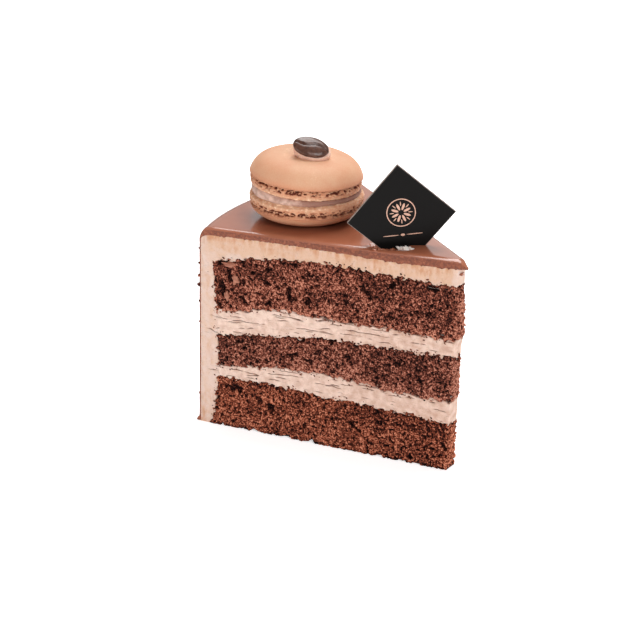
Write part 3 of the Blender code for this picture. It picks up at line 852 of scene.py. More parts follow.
def glaze_section(step, share):
    """(radius, height) in the glaze, at a share of its thickness out from the cream."""
    if step <= top_end:
        radius, top, under = glaze_top_place(step)
        return Vector((radius, under + (top - under) * share))
    if step <= wall_start:
        turned = (step - top_end) / GLAZE_SHOULDER_STEPS
        wall = wall_radius(SHOULDER_FOOT)
        inner = shoulder(turned, glaze_under(SHOULDER_START), wall - GLAZE_WALL)
        return inner.lerp(shoulder(turned, GLAZE_TOP, wall), share)
    height, flare = glaze_wall_place(step)
    inner = Vector((wall_radius(height) - GLAZE_WALL, height))
    return inner.lerp(Vector((wall_radius(height) + flare, height)), share)


# The glaze is broken down in a patch in front of the plaque, along the plaque's foot.
BREAK_CENTRE = Vector((-26.2, 5.3))
BREAK_TURN = 0.379
BREAK_ALONG = Vector((math.cos(BREAK_TURN), math.sin(BREAK_TURN)))
BREAK_FORWARD = Vector((BREAK_ALONG.y, -BREAK_ALONG.x))
BREAK_HALF = 6.5
BREAK_BLEND = 1.5
BREAK_START = -0.5
BREAK_AHEAD = 4.4
BREAK_STEEPNESS = 1.25
BREAK_DEPTH = 1.9
BREAK_WAVES = ((1.0, 1.6), (0.5, 0.7))
BREAK_END_JAGS = 1.5
BREAK_FRONT_JAGS = 0.8
BEHIND_PLAQUE = (-3.0, -1.0)
BESIDE_CUT = (0.5, 1.6)


def broken_depth(place):
    """How far the glaze is broken down in front of the plaque."""
    across = place.xy - BREAK_CENTRE
    along, ahead = across.dot(BREAK_ALONG), across.dot(BREAK_FORWARD)
    uneven = relief(place, BREAK_WAVES)
    width = smooth_step(BREAK_HALF, BREAK_HALF - BREAK_BLEND, abs(along) + BREAK_END_JAGS * uneven)
    slope = 1.0 - smooth_step(BREAK_START, BREAK_AHEAD, ahead + BREAK_FRONT_JAGS * uneven)
    edges = smooth_step(*BEHIND_PLAQUE, ahead) * smooth_step(*BESIDE_CUT, place.y)
    return BREAK_DEPTH * width * min(1.0, BREAK_STEEPNESS * slope) * edges


ROUNDING_REACH = 2.2
ROUNDING_DROP = 0.55
ROUNDING_CURVE = 2.5
TOP_FACE = 0.99
CUT_TOP_EDGE = (1.0, 0.8)
UNDER_EDGE_WAVES = ((0.7, 3.5, 2.0), (0.6, 1.1, 4.0), (0.3, 0.45, 8.0))
CUT_CROWN = 0.12
CUT_WAVES = ((0.05, 1.5), (0.04, 0.5))

on_hidden_cut = slice_point(50.0, 0.0, 1.0)
bm = slab(glaze_along, GLAZE_LEVELS, GLAZE_TURNS)
on_cut = bm.verts.layers.float.new("cut")
for vert in bm.verts:
    step, share = round((vert.co.x + 0.5) * glaze_along), vert.co.y + 0.5
    turn = smooth_step(0.0, 1.0, vert.co.z)
    radius, height = glaze_section(step, share)
    place = slice_point(radius, height, turn, GLAZE_POINT_NEAR, GLAZE_POINT_FAR)
    from_shown = place.y
    from_hidden = -(place - on_hidden_cut).dot(HIDDEN_FACING)
    if step <= wall_start:
        for away in (from_shown, from_hidden):
            near_cut = max(0.0, 1 - max(away, 0.0) / ROUNDING_REACH)
            place.z -= ROUNDING_DROP * near_cut**ROUNDING_CURVE * share**3
    if BEAK_STEPS < step < top_end and share > TOP_FACE:
        place.z -= broken_depth(place)
    out = facing(turn, False)
    if out.length > 0.0:
        vert[on_cut] = smooth_step(*CUT_TOP_EDGE, share)
        if BEAK_STEPS < step <= top_end:
            place.z += edge_noise(radius, turn, UNDER_EDGE_WAVES) * (1 - share) ** 2
        crown = 1 - abs(2 * share - 1) ** 3
        place += out * (CUT_CROWN * crown + relief(place, CUT_WAVES))
    vert.co = place

milk_glaze, tree, shader = new_finish("milk_chocolate_glaze", roughness=0.2, specular=0.4)
cloud = add_cloud(tree, size=14, detail=2.0)
body = colour_steps(tree, cloud, (0.3, (0.325, 0.102, 0.052)), (0.7, (0.375, 0.126, 0.066)))
# The cut face of the glaze is darker than the top: streaks of the knife's smear, and painted shade over
# the whole face.
smeared_and_shaded_cut = colour_steps(
    tree,
    add_grain(tree, size=0.7, depth=0.15).outputs["Value"],
    (0.35, (0.13, 0.036, 0.018)),
    (0.52, (0.205, 0.052, 0.022)),
    (0.70, (0.30, 0.086, 0.039)),
)
cut = painted(tree, "cut")
ripple = add_shader_node(
    tree, "ShaderNodeBump", {"Strength": 1.0, "Distance": 0.10 * MM, "Height": cloud}
)
tree.links.new(mix_colours(tree, cut, body, smeared_and_shaded_cut), shader.inputs["Base Color"])
tree.links.new(spread(tree, cut, to_low=0.2, to_high=0.6), shader.inputs["Roughness"])
tree.links.new(spread(tree, cut, to_low=0.4, to_high=0.0), shader.inputs["Coat Weight"])
tree.links.new(ripple.outputs["Normal"], shader.inputs["Normal"])
add_piece("poured_glaze", bm, milk_glaze, "glaze", "glaze")

# Macaron shells
# Two baked almond shells, each a smooth flat-topped dome over a ruffled foot that bubbled out in the
# oven. The lower one lies on its back on the glaze, and the upper one leans on the filling.
MACARON_RADIUS = 19.9
DOME_HEIGHT = 6.6
DOME_SQUARENESS = 6.4
BELLY_HEIGHT = 4.8
BELLY_SQUARENESS = 5.5
SHELL_ROUNDING = 1.6
CREVICE_DEPTH = 1.2
CREVICE_PLACE = 0.2
CREVICE_WIDTH = 0.13
HEM_EDGES = (0.8, 1.0)
SKIRT_EDGES = (0.0, 0.45)
UPPER_FOOT = 4.1
LOWER_FOOT = 4.4
UPPER_SKIRT = -0.5
LOWER_SKIRT = 0.1
UPPER_RIM = GLAZE_TOP + 15.6
UPPER_TILT = Euler((math.radians(1.2), math.radians(5.0), 0.0)).to_matrix()
LOWER_TILT = Euler((math.radians(1.0), math.radians(1.5), 0.0)).to_matrix()
MACARON_SEGMENTS = 360
DOME_STEPS = 26
SHELL_FOOT_STEPS = 18
WELD = 0.01
PLAIN_RADIUS = 0.5 * MACARON_RADIUS
FOOT_START = 0.02

# The ruffles and bubbles of the foot, each with its size across and up, and the band of holes.
RUFFLE_SIZE = (1.3, 0.8)
SMALL_RUFFLE = 0.6
SMALL_RUFFLE_SCALE = 2.2
BUBBLE_SIZE = (0.7, 0.6)
HOLE_BAND_PLACE = 0.3
HOLE_BAND_WIDTH = 0.24
FOOT_HOLE_EDGES = (-0.02, 0.2)
RUFFLE_DEPTH = 0.35
BUBBLE_DEPTH = 0.22
FOOT_HOLE_DEPTH = 1.0
BAND_SWELL = 0.35
HEM_WAVE = 0.12
HEM_WAVE_SIZE = 1.8
FOOT_TONE = 0.05
# Painted shade in the holes of the foot, and painted light that makes its raised ruffles and bubbles
# lighter and their dips darker.
FOOT_HOLE_SHADE = 1.3
RUFFLE_PAINTED_LIGHT = 0.3
BUBBLE_PAINTED_LIGHT = 0.2
RIM_BROWN = (0.16, 0.35, 0.0)
RIM_LINE_BROWN = (0.15, 0.5, 0.1)
# Where the painted shade at the belly's contact with the glaze comes in.
CONTACT_EDGES = (0.4, 0.9)
DOME_WAVES = ((0.05, 3.0),)


def shell_profile(rise, squareness, foot, skirt):
    """(radius, height) from the top of the dome, round the rim, down the foot and in under it."""
    profile = []
    for step in range(DOME_STEPS + 1):
        angle = 0.5 * math.pi * step / DOME_STEPS
        radius = MACARON_RADIUS * math.sin(angle) ** (2 / squareness)
        profile.append((radius, rise * max(math.cos(angle), 0.0) ** SHELL_ROUNDING))
    for step in range(1, SHELL_FOOT_STEPS + 1):
        share = step / SHELL_FOOT_STEPS
        crevice = CREVICE_DEPTH * math.exp(-(((share - CREVICE_PLACE) / CREVICE_WIDTH) ** 2))
        hem = CREVICE_DEPTH * smooth_step(*HEM_EDGES, share)
        lean = skirt * smooth_step(*SKIRT_EDGES, share)
        profile.append((MACARON_RADIUS + lean - crevice - hem, -share * foot))
    return profile + [(0.0, -foot)]


def on_foot(place, size, seed):
    """A place of the foot in the scale of its ruffles or bubbles."""
    across, up = size
    return Vector((place.x / across, place.y / across, place.z / up + seed))


def ruffle_foot(vert, share, seed, depth):
    """Moves a vertex of the foot, at a share of the way down it, and paints its light and shade."""
    way = Vector((vert.co.x, vert.co.y, 0.0)).normalized()
    around = math.atan2(vert.co.y, vert.co.x) * MACARON_RADIUS
    ruffled = on_foot(vert.co, RUFFLE_SIZE, seed)
    ruffle = noise.noise(ruffled) + SMALL_RUFFLE * noise.noise(SMALL_RUFFLE_SCALE * ruffled)
    bubble = noise.noise(on_foot(vert.co, BUBBLE_SIZE, seed))
    band = math.exp(-(((share - HOLE_BAND_PLACE) / HOLE_BAND_WIDTH) ** 2))
    hole = smooth_step(*FOOT_HOLE_EDGES, ruffle) * band
    out = RUFFLE_DEPTH * ruffle * (1 - band) + BUBBLE_DEPTH * bubble
    out += BAND_SWELL * band * (1 - hole) - FOOT_HOLE_DEPTH * hole
    vert.co += way * out
    vert.co.z += HEM_WAVE * noise.noise(Vector((around / HEM_WAVE_SIZE, share, seed)))
    # Painted light and shade: the raised parts of the foot are lighter, the holes dark.
    raised_painted_light = (RUFFLE_PAINTED_LIGHT * ruffle + BUBBLE_PAINTED_LIGHT * bubble) * (1 - hole)
    vert[depth] = FOOT_TONE + FOOT_HOLE_SHADE * hole - raised_painted_light


def shell(rise, squareness, foot, skirt, seed, tone, contact_shade):
    """A shell turned from its profile, with its rim at height 0 and its foot below."""
    profile = shell_profile(rise, squareness, foot, skirt)
    bm = bmesh.new()
    verts = [bm.verts.new((radius, 0.0, height)) for radius, height in profile]
    edges = [bm.edges.new(pair) for pair in zip(verts, verts[1:])]
    bmesh.ops.spin(
        bm,
        geom=verts + edges,
        cent=(0.0, 0.0, 0.0),
        axis=(0.0, 0.0, 1.0),
        angle=2 * math.pi,
        steps=MACARON_SEGMENTS,
        use_merge=True,
    )
    bmesh.ops.remove_doubles(bm, verts=bm.verts[:], dist=WELD)
    depth = bm.verts.layers.float.new("shade_and_tone")
    for vert in bm.verts:
        if vert.co.xy.length < PLAIN_RADIUS:
            continue
        share = -vert.co.z / foot
        if share > FOOT_START:
            ruffle_foot(vert, share, seed, depth)
        else:
            up = vert.co.z / rise
            vert[depth] = tone + fade(RIM_BROWN, up) + fade(RIM_LINE_BROWN, vert.co.z)
            # Painted shade: the belly of the lower shell is darkened towards where it rests on the
            # glaze.
            vert[depth] += contact_shade * smooth_step(*CONTACT_EDGES, up)
            vert.co += relief(vert.co, DOME_WAVES) * vert.co.normalized()
    return bm


def turn_and_place(bm, verts, turn, place):
    """Turns part of a mesh about the origin and carries it to its place."""
    bmesh.ops.rotate(bm, verts=verts, cent=(0.0, 0.0, 0.0), matrix=turn)
    bmesh.ops.translate(bm, verts=verts, vec=place)


SHELL_MOTTLE = 0.35
SHELL_MOTTLE_START = -0.17
SHELL_SPECKS = 0.3

tan_shell, tree, shader = new_finish("tan_shell", roughness=0.6, subsurface=0.1, specular=0.25)
grain = add_grain(tree, size=0.5, depth=0.03)
cloud = add_cloud(tree, size=9, detail=3.0)
mottle = combine(tree, "MULTIPLY_ADD", cloud, SHELL_MOTTLE, SHELL_MOTTLE_START)
speck = combine(tree, "MULTIPLY_ADD", grain.outputs["Value"], SHELL_SPECKS, mottle)
# The shell's colours: tan on the dome, warmer towards the rim, and dark brown for painted shade in the
# holes of the foot and under the belly where it rests on the glaze.
body = colour_steps(
    tree,
    combine(tree, "ADD", painted(tree, "shade_and_tone"), speck),
    (0.0, (0.88, 0.56, 0.37)),
    (0.14, (0.65, 0.37, 0.228)),
    (0.40, (0.60, 0.265, 0.147)),
    (0.9, (0.13, 0.026, 0.012)),
)
dress(tree, shader, body, grain)

turned_over = LOWER_TILT @ Matrix.Rotation(math.pi, 3, "X")
bm = shell(BELLY_HEIGHT, BELLY_SQUARENESS, LOWER_FOOT, LOWER_SKIRT, seed=3.0, tone=0.08, contact_shade=0.5)
lower_rim = GLAZE_TOP - min((turned_over @ vert.co).z for vert in bm.verts)
turn_and_place(bm, bm.verts[:], turned_over, (*MACARON_CENTRE, lower_rim))
add_piece("shell_lower", bm, tan_shell, "macaron_shell", "macaron_shell_lower")
bm = shell(DOME_HEIGHT, DOME_SQUARENESS, UPPER_FOOT, UPPER_SKIRT, seed=11.0, tone=0.07, contact_shade=0.0)
turn_and_place(bm, bm.verts[:], UPPER_TILT, (*MACARON_CENTRE, UPPER_RIM))
add_piece("shell_upper", bm, tan_shell, "macaron_shell", "macaron_shell_upper")

# Macaron filling
# A disc of soft pinkish chocolate cream, piped on the lower shell and pressed out unevenly by the
# upper one, so that it bulges at the edge between their two flat faces.
FILLING_RADIUS = 18.7
FILLING_SEGMENTS = 240
FILLING_ROWS = 14
FILLING_INTO_SHELLS = 0.4
FILLING_BULGE = 0.55
FILLING_LUMPS = 0.3
FILLING_LUMP_SIZE = 5.0
FILLING_DRAGS = 0.12
FILLING_DRAG_SIZE = 1.5
FILLING_DRAG_ROWS = 3
WARM_SIDE = (-6.0, 14.0)


def shell_plane(rim, tilt, lift, across):
    """The height of a tilted shell's flat face at a place across from the macaron's centre."""
    normal = tilt @ Vector((0.0, 0.0, 1.0))
    start = normal * lift
    slope = ((across.x - start.x) * normal.x + (across.y - start.y) * normal.y) / normal.z
    return rim + start.z - slope


bm = bmesh.new()
bmesh.ops.create_cone(
    bm,
    cap_ends=True,
    segments=FILLING_SEGMENTS,
    radius1=FILLING_RADIUS,
    radius2=FILLING_RADIUS,
    depth=1.0,
)
split_across(bm, FILLING_ROWS)
warmth = bm.verts.layers.float.new("warmth")
for vert in bm.verts:
    share = vert.co.z + 0.5
    low = shell_plane(lower_rim, LOWER_TILT, LOWER_FOOT, vert.co.xy)
    high = shell_plane(UPPER_RIM, UPPER_TILT, -UPPER_FOOT, vert.co.xy)
    lump = noise.noise(Vector((*(vert.co.xy / FILLING_LUMP_SIZE), share)))
    drag = noise.noise(Vector((*(vert.co.xy / FILLING_DRAG_SIZE), FILLING_DRAG_ROWS * share)))
    push = FILLING_BULGE * (1 - (2 * share - 1) ** 2) + FILLING_LUMPS * lump + FILLING_DRAGS * drag
    vert.co.xy += vert.co.xy.normalized() * push
    vert.co.z = low - FILLING_INTO_SHELLS + (high - low + 2 * FILLING_INTO_SHELLS) * share
    vert[warmth] = smooth_step(*WARM_SIDE, vert.co.x)
bmesh.ops.translate(bm, verts=bm.verts[:], vec=(*MACARON_CENTRE, 0.0))
pink_cream = cream_finish(
    "macaron_cream", pale=(0.68, 0.45, 0.36), warm=(0.30, 0.145, 0.105), stain=(0.3, 0.15, 0.1)
)
add_piece("filling_disc", bm, pink_cream, "macaron_cream", "macaron_filling")

# Coffee bean and its dab
# A dark roasted bean, flat side up with its crease along it, laid leaning in a small dab of cream
# that holds it on the dome of the upper shell.
BEAN_SIZE = Vector((12.5, 8.4, 5.6))
BEAN_CENTRE = Vector((-60.7, 21.9))
BEAN_FLATTENING = 0.55
BEAN_TURN = Euler((math.radians(36.0), math.radians(13.0), math.radians(21.6)), "XYZ").to_matrix()
BEAN_OVER_SHELL = 3.8
BEAN_WAVES = ((0.08, 1.6),)
CREASE_DEPTH = 0.55
CREASE_WIDTH = 0.32
CREASE_SWAY = 0.55
CREASE_BENDS = 0.75
DAB_SIZE = Vector((13.0, 9.4, 8.4))
DAB_DROP = 1.9
DAB_RIM = -0.55
DAB_SHIFT = 0.75
DAB_INTO_SHELL = 0.2
DAB_LUMPS = 0.25
DAB_LUMP_SIZE = 2.5

shell_top = shell_plane(UPPER_RIM, UPPER_TILT, DOME_HEIGHT, BEAN_CENTRE - MACARON_CENTRE)
bean_middle = Vector((*BEAN_CENTRE, shell_top + BEAN_OVER_SHELL))
bean_out = BEAN_TURN @ Vector((0.0, 0.0, 1.0))
bean_along = BEAN_TURN @ Vector((1.0, 0.0, 0.0))
bm = bmesh.new()
bmesh.ops.create_uvsphere(bm, u_segments=80, v_segments=64, radius=1.0)
bmesh.ops.rotate(bm, verts=bm.verts[:], matrix=Matrix.Rotation(math.pi / 2, 3, "Y"))
for vert in bm.verts:
    if vert.co.z > 0:
        vert.co.z *= BEAN_FLATTENING
    vert.co = Vector(a * b / 2 for a, b in zip(vert.co, BEAN_SIZE))
    vert.co += vert.normal * relief(vert.co, BEAN_WAVES)
    if vert.co.z > 0:
        sway = CREASE_SWAY * math.sin(vert.co.x * CREASE_BENDS)
        away = (vert.co.y - sway) / CREASE_WIDTH
        vert.co.z -= CREASE_DEPTH * math.exp(-away * away)
turn_and_place(bm, bm.verts[:], BEAN_TURN, bean_middle)
roasted_bean, tree, shader = new_finish("roasted_bean", roughness=0.3, coat=0.2, specular=0.35)
grain = add_grain(tree, size=1.2, depth=0.10)
body = colour_steps(
    tree, grain.outputs["Value"], (0.3, (0.050, 0.018, 0.011)), (0.7, (0.120, 0.048, 0.030))
)
dress(tree, shader, body, grain)
add_piece("bean_roasted", bm, roasted_bean, "bean", "coffee_bean")


def slice_off(bm, place, normal):
    """Cuts away what lies beyond a plane and closes the cut with a flat face."""
    everything = bm.verts[:] + bm.edges[:] + bm.faces[:]
    cut = bmesh.ops.bisect_plane(
        bm, geom=everything, plane_co=place, plane_no=normal, clear_outer=True
    )
    edges = [part for part in cut["geom_cut"] if isinstance(part, bmesh.types.BMEdge)]
    bmesh.ops.holes_fill(bm, edges=edges)


bm = bmesh.new()
bmesh.ops.create_uvsphere(bm, u_segments=72, v_segments=40, radius=0.5)
bmesh.ops.scale(bm, verts=bm.verts[:], vec=DAB_SIZE)
dab_middle = bean_middle - bean_out * DAB_DROP + bean_along * DAB_SHIFT
turn_and_place(bm, bm.verts[:], BEAN_TURN, dab_middle)
slice_off(bm, bean_middle + bean_out * DAB_RIM, bean_out)
dab_foot = (*BEAN_CENTRE, shell_top - DAB_INTO_SHELL)
slice_off(bm, dab_foot, UPPER_TILT @ Vector((0.0, 0.0, -1.0)))
for vert in bm.verts:
    vert.co += DAB_LUMPS * noise.noise_vector(vert.co / DAB_LUMP_SIZE)
dab_cream = cream_finish(
    "dab_cream", pale=(0.82, 0.54, 0.43), warm=(0.74, 0.45, 0.34), stain=(0.5, 0.3, 0.2)
)
add_piece("dab", bm, dab_cream, "macaron_cream", "bean_dab")

# Plaque
# A thin square of dark chocolate with a satin face, stood on its corner through the glaze. A plain
# rosette and a thin rule are printed on it in rose gold cocoa butter, each a hair proud of the face.
PLAQUE_SIDE = 25.0
PLAQUE_THICKNESS = 1.0
PLAQUE_BEVEL = 0.1
# The width of the band of painted highlight along the plaque's rims.
PLAQUE_HIGHLIGHT_BAND = 0.15
PLAQUE_CENTRE = Vector((-23.3, 7.2, 86.6))
PLAQUE_TURN = Euler((math.radians(1.6), math.radians(-6.2), math.radians(21.7)), "XYZ").to_matrix()
ON_CORNER = Matrix.Rotation(math.pi / 4, 3, "Y")
SHARP_ANGLE = math.radians(40)

bm = bmesh.new()
bmesh.ops.create_cube(bm, size=1.0)
bmesh.ops.scale(bm, verts=bm.verts[:], vec=(PLAQUE_SIDE, PLAQUE_THICKNESS, PLAQUE_SIDE))
bmesh.ops.bevel(
    bm,
    geom=bm.edges[:],
    offset=PLAQUE_BEVEL,
    segments=2,
    profile=0.5,
    affect="EDGES",
    material=-1,
)
bmesh.ops.rotate(bm, verts=bm.verts[:], cent=(0.0, 0.0, 0.0), matrix=ON_CORNER)
turn_and_place(bm, bm.verts[:], PLAQUE_TURN, PLAQUE_CENTRE)
# Painted highlight: a thin band along the plaque's rims is coloured lighter, where the edges catch the
# light; the broad faces stay dark.
edge_highlight = bm.verts.layers.float.new("edge")
for vert in bm.verts:
    vert[edge_highlight] = 1.0
broad = [face for face in bm.faces if face.calc_area() > 0.5 * PLAQUE_SIDE**2]
bmesh.ops.inset_individual(bm, faces=broad, thickness=PLAQUE_HIGHLIGHT_BAND)
for face in broad:
    for vert in face.verts:
        vert[edge_highlight] = 0.0
dark_plaque, tree, shader = new_finish("dark_chocolate_plaque", roughness=0.34, specular=0.08)
grain = add_grain(tree, size=0.9, depth=0.012)
edge_highlight_share = combine(tree, "MULTIPLY", painted(tree, "edge"), grain.outputs["Value"])
body = colour_steps(tree, edge_highlight_share, (0.0, (0.006, 0.0052, 0.005)), (0.55, (0.30, 0.24, 0.21)))
dress(tree, shader, body, grain)
plaque = add_piece("plaque_square", bm, dark_plaque, "plaque", "plaque")
plaque.data.set_sharp_from_angle(angle=SHARP_ANGLE)

# The print is drawn flat, in the plaque's own plane, and stood up against the plaque afterwards.
INK_HEIGHT = 0.04
INK_WIDTH = 0.32
ROSETTE_CENTRE = Vector((0.0, 1.6))
ROSETTE_RADIUS = 4.6
PETALS = 8
PETAL_WIDTH = 0.8
PETAL_START = 0.9
PETAL_END = 0.72 * ROSETTE_RADIUS
STAMEN_START = 0.5 * ROSETTE_RADIUS
STAMEN_END = 0.82 * ROSETTE_RADIUS
RULE_HEIGHT = -6.0
RULE_LENGTH = 13.0
RULE_GAP = 1.2
DOT_WIDTH = 0.7


def add_stroke(bm, start, end, width):
    """A printed stroke between two places on the plaque, tapering to both ends."""
    along = end - start
    made = bmesh.ops.create_circle(bm, cap_ends=True, segments=16, radius=0.5)["verts"]
    bmesh.ops.scale(bm, verts=made, vec=(along.length, width, 1.0))
    turn = Matrix.Rotation(math.atan2(along.y, along.x), 3, "Z")
    turn_and_place(bm, made, turn, ((start + end) / 2).to_3d())


def add_spoke(bm, turned, start, end, width):
    """A stroke out from the middle of the rosette, turned by a number of petals."""
    angle = 2 * math.pi * turned / PETALS
    out = Vector((math.cos(angle), math.sin(angle)))
    add_stroke(bm, ROSETTE_CENTRE + start * out, ROSETTE_CENTRE + end * out, width)


def add_ring(bm, centre, radius, width):
    """A printed ring."""
    inner = bmesh.ops.create_circle(bm, segments=64, radius=radius - width / 2)["verts"]
    outer = bmesh.ops.create_circle(bm, segments=64, radius=radius + width / 2)["verts"]
    edges = {edge for vert in inner + outer for edge in vert.link_edges}
    bmesh.ops.bridge_loops(bm, edges=list(edges))
    bmesh.ops.translate(bm, verts=inner + outer, vec=centre.to_3d())


bm = bmesh.new()
for petal in range(PETALS):
    add_spoke(bm, petal + 0.5, PETAL_START, PETAL_END, PETAL_WIDTH)
    add_spoke(bm, petal, STAMEN_START, STAMEN_END, INK_WIDTH)
add_ring(bm, ROSETTE_CENTRE, ROSETTE_RADIUS, INK_WIDTH)
for side in (-1, 1):
    start = Vector((side * RULE_GAP, RULE_HEIGHT))
    add_stroke(bm, start, Vector((side * RULE_LENGTH / 2, RULE_HEIGHT)), INK_WIDTH)
dot_start, dot_end = (Vector((side * DOT_WIDTH, RULE_HEIGHT)) for side in (-1, 1))
add_stroke(bm, dot_start, dot_end, PETAL_WIDTH)
draw_out(bm, (0.0, 0.0, 2 * INK_HEIGHT))
stood_up = Matrix.Rotation(math.pi / 2, 3, "X")
turn_and_place(bm, bm.verts[:], stood_up, (0.0, INK_HEIGHT - PLAQUE_THICKNESS / 2, 0.0))
turn_and_place(bm, bm.verts[:], PLAQUE_TURN, PLAQUE_CENTRE)
rose_gold, tree, shader = new_finish("rose_gold_print", roughness=0.45)
grain = add_grain(tree, size=0.4, depth=0.01)
body = colour_steps(
    tree, grain.outputs["Value"], (0.3, (0.50, 0.27, 0.19)), (0.7, (0.72, 0.43, 0.32))
)
dress(tree, shader, body, grain)
ink = add_piece("plaque_print", bm, rose_gold, "plaque")
ink.data.set_sharp_from_angle(angle=SHARP_ANGLE)

# Torn glaze and cream at the plaque's foot
# Pushing the plaque in broke the glaze: small torn chips of it stand along the foot, and flecks of
# the white cream beneath have come up through the middle.
LUMP_UNEVENNESS = 0.9
LUMP_UNEVEN_SCALE = 2.5
CHIP_COUNT = 14
CHIP_SEED = 100
CHIP_START = -9.0
CHIP_SPAN = 13.0
CHIP_SIZE = ((1.4, 1.4), (0.6, 0.5), (0.4, 0.5))
CHIP_TURN = ((0.0, 0.5), (0.0, 0.5), (0.2, 0.6))
CHIP_AHEAD = (0.4, 3.4)
CHIP_DROP = 1.6
CHIP_SLOPE = 0.45
BORDER_CHIP_SIZE = (2.4, 0.7, 1.1)
BORDER_CHIP_TURN = Euler((0.0, 0.2, 1.25)).to_matrix()
BORDER_CHIP_PLACE = Vector((-1.0, 2.6, 71.6))
FLECK_COUNT = 9
FLECK_SEED = 200
FLECK_START = -0.8
FLECK_SPAN = 4.4
FLECK_SIZE = ((1.4, 1.0), (0.8, 0.5), (0.7, 0.7))
FLECK_TURN = ((0.0, 0.6), (0.0, 0.8), (0.0, 1.0))
FLECK_AHEAD = (1.6, 1.6)
FLECK_HEIGHT = (-0.3, 0.3)


def draw(least, width, power=1):
    """A random value from a least one, over a width, nearer to the least with a higher power."""
    return least + width * noise.random() ** power


def add_lump(bm, size, turn, place, seed, detail=2):
    """A small uneven lump, squashed to a size, turned and put in its place."""
    made = bmesh.ops.create_icosphere(bm, subdivisions=detail, radius=0.5)["verts"]
    shift = Vector((seed, 0.0, 0.0))
    for vert in made:
        vert.co *= 1 + LUMP_UNEVENNESS * noise.noise(vert.co * LUMP_UNEVEN_SCALE + shift)
    bmesh.ops.scale(bm, verts=made, vec=size)
    turn_and_place(bm, made, turn, place)


def foot_place(along, ahead, height):
    """A place on the glaze at the plaque's foot: along it, ahead of its face and over the glaze."""
    side = PLAQUE_TURN @ Vector((1.0, 0.0, 0.0))
    front = PLAQUE_TURN @ Vector((0.0, -1.0, 0.0))
    start = PLAQUE_CENTRE + side * along + front * (PLAQUE_THICKNESS / 2 + ahead)
    return Vector((start.x, start.y, GLAZE_TOP + height))


chips = bmesh.new()
for chip in range(CHIP_COUNT):
    noise.seed_set(CHIP_SEED + chip)
    along = CHIP_START + CHIP_SPAN * (chip + 0.5) / CHIP_COUNT
    size = [draw(*side) for side in CHIP_SIZE]
    turn = Euler([draw(*angle) for angle in CHIP_TURN]).to_matrix()
    ahead = draw(*CHIP_AHEAD)
    place = foot_place(along, ahead, CHIP_SLOPE * ahead - CHIP_DROP)
    add_lump(chips, size, turn, place, seed=3.0 * chip)
add_lump(chips, BORDER_CHIP_SIZE, BORDER_CHIP_TURN, BORDER_CHIP_PLACE, seed=7.0)
add_piece("torn_glaze", chips, milk_glaze, "glaze")
flecks = bmesh.new()
for fleck in range(FLECK_COUNT):
    noise.seed_set(FLECK_SEED + fleck)
    along = FLECK_START + FLECK_SPAN * (fleck + 0.5) / FLECK_COUNT
    size = [draw(*side) for side in FLECK_SIZE]
    turn = Euler([draw(*angle) for angle in FLECK_TURN]).to_matrix()
    place = foot_place(along, draw(*FLECK_AHEAD), draw(*FLECK_HEIGHT))
    add_lump(flecks, size, turn, place, seed=5.0 * fleck)
white_cream = cream_finish(
    "white_cream", pale=(0.88, 0.80, 0.75), warm=(0.78, 0.62, 0.54), stain=(0.5, 0.3, 0.2)
)
add_piece("cream_flecks", flecks, white_cream, "cream")

# Loose crumbs and smears
# Crumbs that the knife has carried off the sponges: fine specks pressed into the cream along every
# border, and larger ones stuck to the edge of the glazed wall. It has also smeared cream over the
# torn corner of the top sponge.
SPECK_COUNT = 360
SPECK_SEED = 1000
SPECK_START = 3.0
SPECK_AWAY = (0.2, 1.5, 3)
SPECK_SIZE = (0.22, 0.4, 2)
SPECK_STAND_OUT = Vector((0.0, 0.12, 0.0))
RING_SPECK_EVERY = 14
RING_SPECK_AWAY = (0.3, 2.0, 3)
CRUMB_TONE = 0.5
CRUMB_TONE_SPREAD = 0.3
CRUMB_TONE_SIZE = 3.0
WALL_CRUMB_TALLER = 1.3
WALL_CRUMB_STAND_OUT = 0.1
BORDERS = (
    (TOP_SPONGE_TOP, 1),
    (TOP_SPONGE_UNDER, -1),
    (MIDDLE_SPONGE_TOP, 1),
    (MIDDLE_SPONGE_UNDER, -1),
    (BOTTOM_SPONGE_TOP, 1),
)
WALL_CRUMBS = (
    (58.8, 0.9), (55.4, 1.2), (63.5, 0.6), (69.0, 0.5), (49.0, 0.6), (41.0, 0.5), (12.0, 0.6)
)
CREAM_SMEARS = (
    (82.4, 64.6, (4.2, 1.0, 1.5)),
    (79.8, 59.3, (2.4, 1.2, 3.0)),
    (83.5, 52.5, (1.4, 1.0, 3.2)),
)
UNTURNED = Matrix.Identity(3)

crumbs = bmesh.new()
for speck in range(SPECK_COUNT):
    noise.seed_set(SPECK_SEED + speck)
    heights, side = BORDERS[speck % len(BORDERS)]
    radius = draw(SPECK_START, RING_INNER - SPECK_START)
    height = boundary(heights, radius) + side * draw(*SPECK_AWAY)
    if speck % RING_SPECK_EVERY == 0:
        height = draw(0.0, TOP_SPONGE_TOP[-1])
        radius = ring_inner(height) + draw(*RING_SPECK_AWAY)
    grain_size = draw(*SPECK_SIZE)
    size = (grain_size * draw(1, 1), grain_size, grain_size)
    turn = Euler((draw(0, 3), draw(0, 1), 0.0)).to_matrix()
    place = slice_point(radius, height, 0.0) + SPECK_STAND_OUT
    add_lump(crumbs, size, turn, place, seed=speck, detail=1)
for place, (height, grain_size) in enumerate(WALL_CRUMBS):
    size = (grain_size, grain_size, WALL_CRUMB_TALLER * grain_size)
    stuck = slice_point(wall_radius(height) + WALL_CRUMB_STAND_OUT, height, 0.0)
    add_lump(crumbs, size, UNTURNED, stuck, seed=50.0 + place)
depth = crumbs.verts.layers.float.new("shade_and_tone")
for vert in crumbs.verts:
    vert[depth] = CRUMB_TONE + CRUMB_TONE_SPREAD * noise.noise(vert.co / CRUMB_TONE_SIZE)
